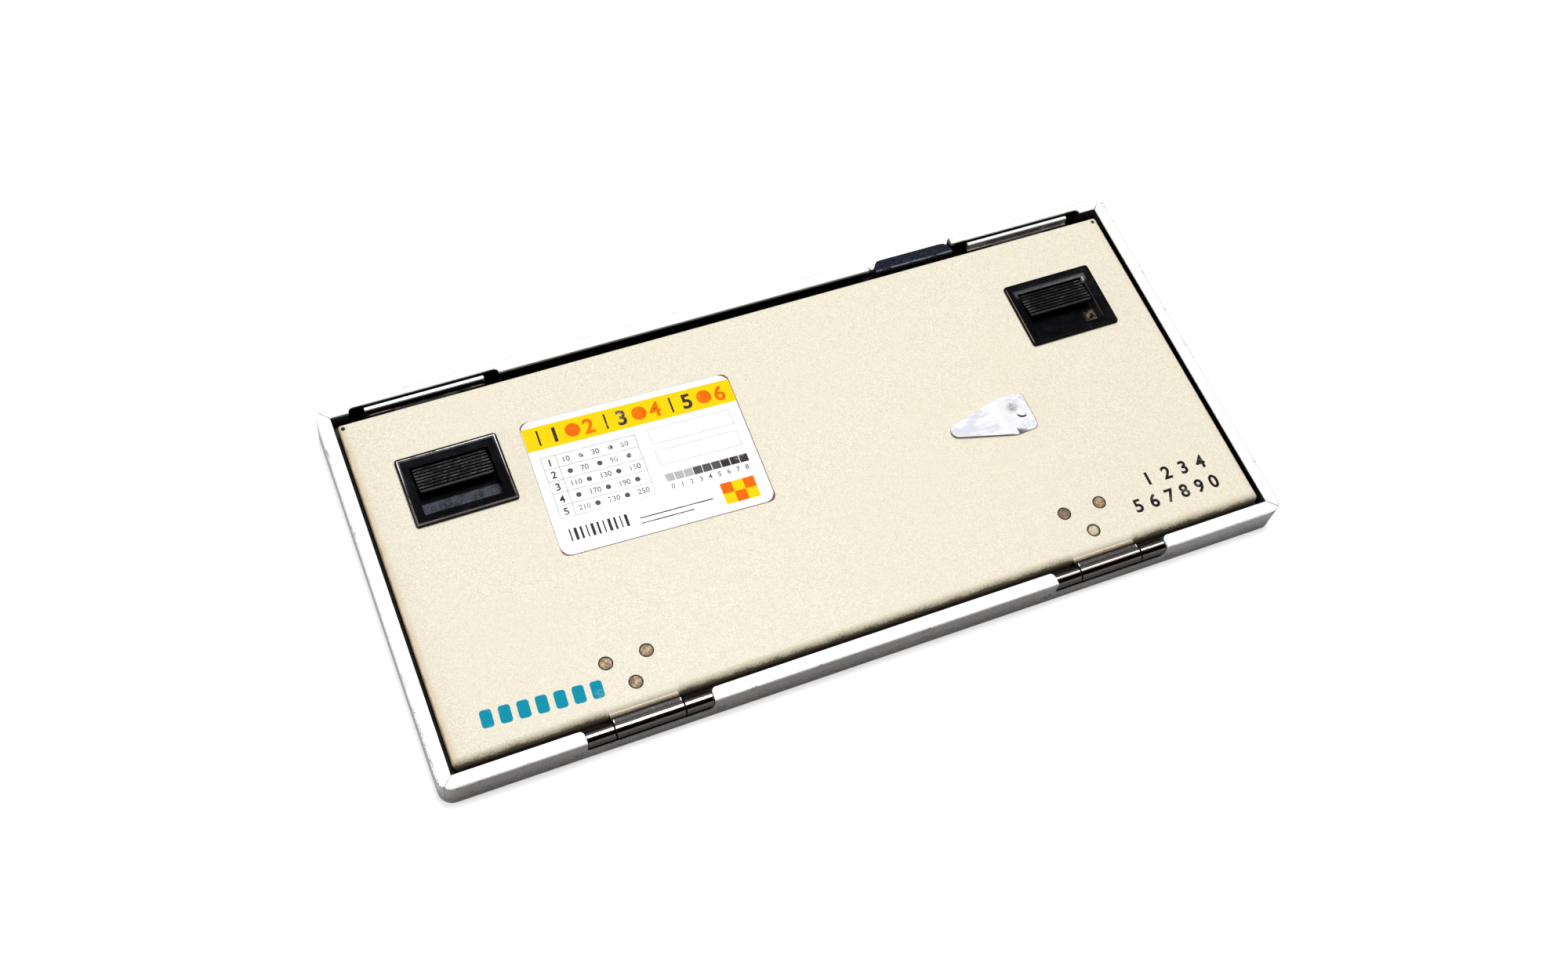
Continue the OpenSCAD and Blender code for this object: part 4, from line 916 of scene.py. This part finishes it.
def rounded(cx, cy, z, length, width, radius, steps=6):
    """Ring of a rectangle with round corners."""
    ring = []
    for quarter, (sx, sy) in enumerate([(1, 1), (-1, 1), (-1, -1), (1, -1)]):
        for i in range(steps + 1):
            a = math.pi / 2 * (quarter + i / steps)
            ring.append((cx + sx * (length / 2 - radius) + radius * math.cos(a),
                cy + sy * (width / 2 - radius) + radius * math.sin(a), z))
    return ring


def plate(cx, cy, z0, z1, length, width, radius, edge=0.0, steps=6):
    """Rings of a flat plate whose top edge is rounded by edge."""
    rings = [rounded(cx, cy, z0, length, width, radius, steps)]
    if edge:
        rings.append(rounded(cx, cy, z1 - edge, length, width, radius, steps))
        d = edge * 0.6
        rings.append(rounded(cx, cy, z1 - edge * 0.3, length - d, width - d, radius - d / 2, steps))
        d = edge * 2
        rings.append(rounded(cx, cy, z1, length - d, width - d, max(radius - d / 2, 0.01), steps))
    else:
        rings.append(rounded(cx, cy, z1, length, width, radius, steps))
    return rings


def turned(rings, cx, cy, angle):
    """The same rings, turned about a vertical axis and moved to cx, cy."""
    spin = Matrix.Rotation(math.radians(angle), 3, "Z")
    shift = Vector((cx, cy, 0))
    return [[tuple(spin @ Vector(p) + shift) for p in ring] for ring in rings]


# height of a numeral as a share of the letter size
CAP_HEIGHT = 0.72


def figures(name, lines, look, body, slot):
    """Raised printed numbers: (text, x, y, height, turn, weight, base z), each from its left end."""
    points, faces = [], []
    for text, x, y, height, turn, weight, base in lines:
        curve = bpy.data.curves.new("figures", "FONT")
        curve.body = text
        curve.size = height / CAP_HEIGHT
        curve.offset = weight
        curve.extrude = 0.02
        curve.resolution_u = 6
        shape = bpy.data.objects.new("figures", curve)
        mesh = shape.to_mesh()
        move = Matrix.Translation((x, y, base)) @ Matrix.Rotation(math.radians(turn), 4, "Z")
        start = len(points)
        points += [tuple(move @ v.co) for v in mesh.vertices]
        faces += [tuple(start + i for i in face.vertices) for face in mesh.polygons]
        shape.to_mesh_clear()
        bpy.data.objects.remove(shape)
        bpy.data.curves.remove(curve)
    return piece(name, points, faces, look, body, slot, smooth=False)


# ---------------------------------------------------------------- camera, light and floor

def make_camera():
    """The view of the photograph: a level-free camera over the near left corner."""
    right = Vector((0.917986, -0.379207, 0.116204))
    down = Vector((-0.281884, -0.829917, -0.481434))
    forward = Vector((0.279002, 0.409194, -0.868745))
    data = bpy.data.cameras.new("camera")
    data.sensor_width = 36
    data.lens = 41.26
    camera = bpy.data.objects.new("camera", data)
    turn = Matrix((right, -down, -forward)).transposed()
    camera.matrix_world = Matrix.Translation(Vector((-197.9, -279.1, 587.4)) * MM) @ turn.to_4x4()
    data.clip_start = 0.01
    bpy.context.scene.collection.objects.link(camera)
    bpy.context.scene.camera = camera


def make_world():
    """Soft studio dome: bright overhead and behind the case, dark at the horizon, white to the eye."""
    world = bpy.data.worlds.new("studio")
    bpy.context.scene.world = world
    world.use_nodes = True
    tree = world.node_tree
    tree.nodes.clear()
    out, place, path, choose, light, seen = [tree.nodes.new("ShaderNode" + kind) for kind in
        ("OutputWorld", "TexCoord", "LightPath", "MixShader", "Background", "Background")]
    facing = tree.nodes.new("ShaderNodeVectorMath")
    facing.operation = "DOT_PRODUCT"
    facing.inputs[1].default_value = Vector((0.0, 0.3, 0.95)).normalized()
    ramp = tree.nodes.new("ShaderNodeMapRange")
    ramp.interpolation_type = "SMOOTHSTEP"
    for key, end in (("From Min", 0.45), ("From Max", 0.97), ("To Min", 0.06), ("To Max", 0.7)):
        ramp.inputs[key].default_value = end
    seen.inputs["Strength"].default_value = 1.05
    for background in (light, seen):
        background.inputs["Color"].default_value = (1, 1, 1, 1)
    for source, target in (
        (place.outputs["Generated"], facing.inputs[0]),
        (facing.outputs["Value"], ramp.inputs["Value"]),
        (ramp.outputs["Result"], light.inputs["Strength"]),
        (path.outputs["Is Camera Ray"], choose.inputs[0]),
        (light.outputs[0], choose.inputs[1]),
        (seen.outputs[0], choose.inputs[2]),
        (choose.outputs[0], out.inputs["Surface"]),
    ):
        tree.links.new(source, target)


def make_floor():
    """A plain white tabletop, white to the eye only, so it throws little light back."""
    p = Paint("floor_white", base_color=(0.8, 0.8, 0.8), roughness=0.9, specular_ior_level=0.1)
    dull = p.node("ShaderNodeBsdfDiffuse")
    dull.inputs["Color"].default_value = (0.3, 0.3, 0.3, 1)
    glow = p.node("ShaderNodeEmission")
    p.put(glow.inputs["Strength"], distance(p.x, p.y).step(400, 1600).spread(0.45, 0.95))
    path = p.node("ShaderNodeLightPath")
    add = p.node("ShaderNodeAddShader")
    choose = p.node("ShaderNodeMixShader")
    p.link(p.shader.outputs[0], add.inputs[0])
    p.link(glow.outputs[0], add.inputs[1])
    p.link(path.outputs["Is Camera Ray"], choose.inputs[0])
    p.link(dull.outputs[0], choose.inputs[1])
    p.link(add.outputs[0], choose.inputs[2])
    p.link(choose.outputs[0], p.out.inputs["Surface"])
    side = 12.0
    corners = [(-side, -side, 0), (side, -side, 0), (side, side, 0), (-side, side, 0)]
    mesh = bpy.data.meshes.new("floor")
    mesh.from_pydata(corners, [], [(0, 1, 2, 3)])
    mesh.materials.append(p.material)
    floor = bpy.data.objects.new("floor", mesh)
    bpy.context.scene.collection.objects.link(floor)


def softbox(name, shape, size, energy, direction, away):
    """An area light that faces the case from a direction, away metres off along it."""
    data = bpy.data.lights.new(name, "AREA")
    data.shape = shape
    data.size, data.size_y = size
    data.energy = energy
    light = bpy.data.objects.new(name, data)
    light.location = Vector(direction) * away
    light.rotation_euler = light.location.to_track_quat("Z", "Y").to_euler()
    bpy.context.scene.collection.objects.link(light)


make_camera()
make_world()
make_floor()
# a round softbox high over the case, a weak one over its near side, and a low one at its left
softbox("key", "DISK", (0.8, 0.25), 29, (0.08, 0.2, 0.97), 1.8)
softbox("strip", "RECTANGLE", (0.5, 0.55), 3.2, (0.22, -0.2, 0.95), 1.3)
softbox("side", "RECTANGLE", (0.9, 0.2), 9, (-1.0, 0.12, 0.11), 1.35)
bpy.context.scene.view_settings.view_transform = "Standard"


# ---------------------------------------------------------------- rivets, pointer, soft parts

def hinge_rivet_places():
    """Middles of the six rivet heads: one near and two far at each hinge."""
    low, high = box_mm("hinge_rivets")
    near, far = low.y + RIVET_HEAD, high.y - RIVET_HEAD
    spread = high.x - RIVET_HEAD - HINGE_X
    return [(s * HINGE_X + d * spread, y) for s in (-1, 1) for d, y in ((0, near), (-1, far), (1, far))]


def make_rivets():
    """Six turned rivet heads with a rounded rim and a slightly hollow top."""
    low, high = box_mm("hinge_rivets")
    parts = []
    for cx, cy in hinge_rivet_places():
        top = high.z + random.uniform(-0.02, 0.02)
        profile = [(2.3, low.z), (2.3, low.z + 0.55), (1.5, low.z + 0.6), (1.5, high.z - 0.9),
            (RIVET_HEAD, high.z - 0.88), (RIVET_HEAD, top - 0.2), (2.52, top - 0.07), (2.3, top),
            (2.1, top - 0.01), (1.7, top - 0.035), (1.2, top - 0.045), (0.6, top - 0.05), (0.05, top - 0.05)]
        parts.append(lathe(cx, cy, profile))
    rivets = piece("hinge_rivet_heads", *solids(parts), "rivet", "lid", "rivet_bronze")
    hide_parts("hinge_rivets")
    rivets.modifiers.new("edges", "EDGE_SPLIT").split_angle = math.radians(50)


def make_felt():
    """Four strips of felt with a rounded, slightly uneven pile."""
    low, high = box_mm("felt_light_seal")
    width, spacing = 2.0, 1.5
    height = high.z - low.z
    section = [(-1, 0), (-1, 0.6), (-0.86, 0.85), (-0.5, 0.98), (0, 1), (0.5, 0.98), (0.86, 0.85),
        (1, 0.6), (1, 0)]
    inner = width / 2

    def strip(start, end):
        start, end = Vector(start), Vector(end)
        way = (end - start).normalized()
        across = Vector((-way.y, way.x, 0))
        count = int((end - start).length / spacing)
        rings = []
        for k in range(count + 1):
            centre = start.lerp(end, k / count)
            ring = []
            for u, v in section:
                ruffle = random.uniform(0.93, 1.0) if v > 0.5 else 1
                at = centre + across * (u * inner * (0.97 if v else 1) * ruffle)
                ring.append((at.x, at.y, low.z + v * height * ruffle))
            rings.append(ring)
        return rings

    x, y = high.x - inner, high.y - inner
    short = y - inner - 0.1
    parts = [strip((-x - inner, s * y, 0), (x + inner, s * y, 0)) for s in (-1, 1)]
    parts += [strip((s * x, -short, 0), (s * x, short, 0)) for s in (-1, 1)]
    felt = piece("felt_strips", *solids(parts), "felt", "frame", "black_felt")
    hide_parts("felt_light_seal")


def make_foam():
    """The foam pad between the lead foil and the back screen, bulging a little at its edge."""
    low, high = box_mm("pressure_pad")
    length, width = high.x - low.x, high.y - low.y
    rings = []
    for k in range(9):
        v = k / 8
        inset = 0.5 * (2 * v - 1) ** 4 + 0.02
        rings.append(rounded(0, (low.y + high.y) / 2, low.z + v * (high.z - low.z),
            length - 2 * inset, width - 2 * inset, 1.5, 6))
    foam = piece("foam_pad", *loft(rings), "foam", "lid", "foam_pad")
    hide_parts("pressure_pad")


def pointer_outline(count):
    """The pointer's middle, and points round its edge, in the pointer's own axes."""
    # radius of the tip, start of the wide part, its half width, its end and its corners' radius
    tip, wide, half, end, corner = 3.0, 5.8, 8.7, 4.0, 2.2
    flank = math.atan2(half - tip, POINTER_REACH - tip - wide)
    shape = []
    for i in range(13):
        a = math.pi / 2 + flank + (math.pi - 2 * flank) * i / 12
        shape.append((tip - POINTER_REACH + tip * math.cos(a), tip * math.sin(a)))
    waist = [(-wide - 1.6, -half + 0.42), (-wide - 0.5, -half + 0.08), (-wide + 0.9, -half + 0.03)]
    shape += waist
    for side in (-1, 1):
        start = -90 if side < 0 else 0
        for i in range(8):
            a = math.radians(start + 90 * i / 7)
            x = end - corner + corner * math.cos(a)
            shape.append((x, side * (half - 0.5 - corner) + corner * math.sin(a)))
    shape += [(x, -y) for x, y in reversed(waist)]
    ring = []
    hub = Vector((-9.0, 0.0))
    for k in range(count):
        way = Vector((math.cos(2 * math.pi * k / count), math.sin(2 * math.pi * k / count)))
        for (ax, ay), (bx, by) in zip(shape, shape[1:] + shape[:1]):
            a, edge = Vector((ax, ay)) - hub, Vector((bx - ax, by - ay))
            det = way.x * -edge.y + way.y * edge.x
            if abs(det) < 1e-9:
                continue
            far = (a.x * -edge.y + a.y * edge.x) / det
            part = (way.x * a.y - way.y * a.x) / det
            if far > 0 and -1e-6 <= part <= 1 + 1e-6:
                ring.append(hub + way * far)
                break
    return hub, ring


def make_pointer():
    """The swivelling pointer: a stamped plate with a soft bend, a dimple and a domed rivet."""
    low, high = box_mm("swivel_pointer")
    hub, ring = pointer_outline(144)
    steps = 34
    thick = 0.5

    def height(x):
        slack = min(max((BEND_START - x) / (BEND_START - BEND_END), 0), 1)
        rise = BEND_RISE * slack * slack * (3 - 2 * slack)
        bow = 0.05 * math.sin(x * 0.21 + 0.6) * min(max((-x - 8) / 10, 0), 1)
        return rise + bow

    def dent(x, y):
        away = math.hypot(x + 2.3, y - 3.3)
        return -0.2 * math.exp(-(away / 1.15) ** 2)

    rows = []
    for k in range(1, steps + 1):
        share = (k / steps) ** 0.8
        rows.append([hub + (edge - hub) * share for edge in ring])
    points = [(hub.x, hub.y, height(hub.x) + thick - 0.02)]
    rounding = {steps: -0.14, steps - 1: -0.02}
    for k, row in enumerate(rows, 1):
        for spot in row:
            z = height(spot.x) + dent(*spot) + thick + rounding.get(k, 0)
            points.append((spot.x, spot.y, min(z, thick + BEND_RISE)))
    points += [(spot.x, spot.y, height(spot.x) + 0.06) for spot in rows[-1]]
    points += [(spot.x, spot.y, height(spot.x)) for spot in rows[-2]]
    points.append((hub.x, hub.y, height(hub.x)))
    count = len(ring)
    faces = [(0, 1 + i, 1 + (i + 1) % count) for i in range(count)]
    for k in range(steps + 1):
        a = 1 + k * count
        for i in range(count):
            j = (i + 1) % count
            faces.append((a + i, a + count + i, a + count + j, a + j))
    last = len(points) - 1
    a = last - count
    faces += [(last, a + (i + 1) % count, a + i) for i in range(count)]
    px, py = PIVOT
    points = [(x + px, y + py, z + low.z) for x, y, z in points]
    pointer = piece("pointer_plate", points, faces, "pointer", "pointer", "pointer_aluminium")
    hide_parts("swivel_pointer")
    low, high = box_mm("pointer_rivet")
    base = low.z + 0.02
    top = high.z
    profile = [(1.95, base), (1.95, base + 0.5), (1.2, base + 0.55), (1.2, top - 0.58), (1.86, top - 0.56),
        (1.9, top - 0.42), (1.8, top - 0.28), (1.5, top - 0.13), (1.0, top - 0.04), (0.4, top), (0.05, top)]
    rings = lathe(px, py, profile, 36)
    dome = piece("pointer_rivet_dome", *loft(rings), "pointer", "lid", "pointer_aluminium")
    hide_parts("pointer_rivet")


make_rivets()
make_felt()
make_foam()
make_pointer()


# ---------------------------------------------------------------- label

def make_label():
    """The card on the lid, with plain numbers, a table, boxes, bars and a chequer printed on it."""
    low, high = box_mm("info_label")
    cx, cy = middle("info_label")[:2]
    length, width, angle = LABEL
    top = high.z
    # width of a thin printed line
    thin = 0.14
    card = turned(plate(0, 0, low.z, top, length, width, 3.0, 0.06), cx, cy, angle)
    card = piece("label_card", *loft(card), "card", "lid", "label_card")
    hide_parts("info_label")

    def printed(name, look, shapes, over=0.0):
        """Thin printed shapes: (x, y, length, width, corner radius) from the label's middle."""
        base = top - 0.01 + over
        parts = []
        for x, y, along, across, radius in shapes:
            corner = min(max(radius, 0.02), across / 2 - 0.02)
            rings = plate(x, y, base, base + 0.02, along, across, corner, 0, 5)
            parts.append(turned(rings, cx, cy, angle))
        return piece(name, *solids(parts), look, "lid", "label_card", smooth=False)

    def numbered(name, look, lines):
        """Printed numbers: (text, x, y, height, weight) from the label's middle."""
        spin = Matrix.Rotation(math.radians(angle), 2)
        placed = []
        for text, x, y, height, weight in lines:
            at = spin @ Vector((x, y))
            placed.append((text, at.x + cx, at.y + cy, height, angle, weight, top + 0.02))
        return figures(name, placed, look, "lid", "label_card")

    printed("label_band", "yellow", [(0, 20.9, length - 0.5, 9.9, 0.05)])
    # in the band: black numbers beside rules and orange ones beside round counters, by turns
    printed("label_counters", "orange", [(x, 20.9, 5.8, 5.8, 2.9) for x in (-22.2, 3.6, 29.2)], 0.02)
    numbered("label_counts", "orange", [(text, x, 17.9, 6.2, 0.22) for text, x in
        (("2", -18.2), ("4", 7.6), ("6", 33.2))])
    numbered("label_counts_black", "ink", [(text, x, 17.9, 6.2, 0.22) for text, x in
        (("1", -31.2), ("3", -5.4), ("5", 20.2))])
    printed("label_rules", "ink", [(x, 20.9, 0.7, 6.6, 0.1) for x in (-35.2, -9.4, 16.2)], 0.02)
    # a numbered table to write in, on the left
    lines = [(-19.0, 12.4 - 5.2 * k, 36.0, thin, 0.02) for k in range(6)]
    lines += [(x, -0.6, thin, 26.0, 0.02) for x in (-37.0, -31.4, -1.0)]
    printed("label_table", "grey", lines)
    numbered("label_rows", "ink", [(str(k + 1), -35.3, 8.3 - 5.2 * k, 3.0, 0.06) for k in range(5)])
    cells = [(c, r, -28.0 + 5.6 * c, 9.8 - 5.2 * r) for r in range(5) for c in range(5)]
    printed("label_ticks", "grey", [(x, y, 2.0, 2.0, 1.0) for c, r, x, y in cells if (r + c) % 2])
    numbered("label_cells", "grey", [(str(10 * (5 * r + c + 1)), x - 1.7, y - 1.0, 2.2, 0.02)
        for c, r, x, y in cells if not (r + c) % 2])
    # empty boxes on the right, a step wedge under them
    boxes = []
    for y in (9.8, 0.4):
        boxes += [(20.2, y + rise, 32.0, thin, 0.02) for rise in (3.2, -3.2)]
        boxes += [(x, y, thin, 6.5, 0.02) for x in (4.2, 36.2)]
    printed("label_boxes", "hairline", boxes)
    for n, shade in enumerate(("hairline", "grey", "ink")):
        steps = [(6.0 + 3.6 * k, -8.4, 3.3, 3.2, 0.1) for k in range(3 * n, 3 * n + 3)]
        printed("label_wedge_%d" % n, shade, steps)
    numbered("label_steps", "grey", [(str(k), 5.3 + 3.6 * k, -13.2, 2.0, 0.02) for k in range(9)])
    # at the foot bars and two lines, and a chequer at the right
    printed("label_checks_yellow", "yellow", [(24.6, -23.0, 4.4, 4.4, 0.1), (29.0, -18.6, 4.4, 4.4, 0.1),
        (33.4, -23.0, 4.4, 4.4, 0.1)])
    printed("label_checks_orange", "orange", [(29.0, -23.0, 4.4, 4.4, 0.1), (24.6, -18.6, 4.4, 4.4, 0.1),
        (33.4, -18.6, 4.4, 4.4, 0.1)])
    bars = [(-35.6 + 2.1 * k, -20.8, (0.5, 1.1, 0.8)[k % 3], 5.0, 0.05) for k in range(11)]
    bars += [(4.2, -21.4, 28.0, 0.5, 0.1), (0.2, -23.6, 20.0, 0.5, 0.1)]
    printed("label_bars", "ink", bars)


make_label()


def make_lid_print():
    """Printed on the lid: a row of seven teal bars, and two rows of plain numbers."""
    z = PLATE_TOP
    start, end = Vector((-142.6, -57.05)), Vector((-104.1, -59.6))
    angle = math.degrees(math.atan2(end.y - start.y, end.x - start.x))
    parts = []
    for k in range(7):
        at = start.lerp(end, k / 6)
        parts.append(turned(plate(0, 0, z - 0.01, z + 0.03, 4.2, 6.6, 1.1, 0, 5), at.x, at.y, angle))
    piece("teal_bars", *solids(parts), "teal", "lid", "lid_paint", smooth=False)
    rows = [(text, x, -50.9, 5.4, 0.0, 0.2, z + 0.012) for text, x in
        (("1", 119.0), ("2", 127.2), ("3", 134.7), ("4", 142.2))]
    rows += [(text, x, -60.2, 5.4, 0.0, 0.2, z + 0.012) for text, x in
        (("5", 110.0), ("6", 116.9), ("7", 123.8), ("8", 130.2), ("9", 136.9), ("0", 143.2))]
    figures("lid_numbers", rows, "black", "lid", "lid_paint")


make_lid_print()
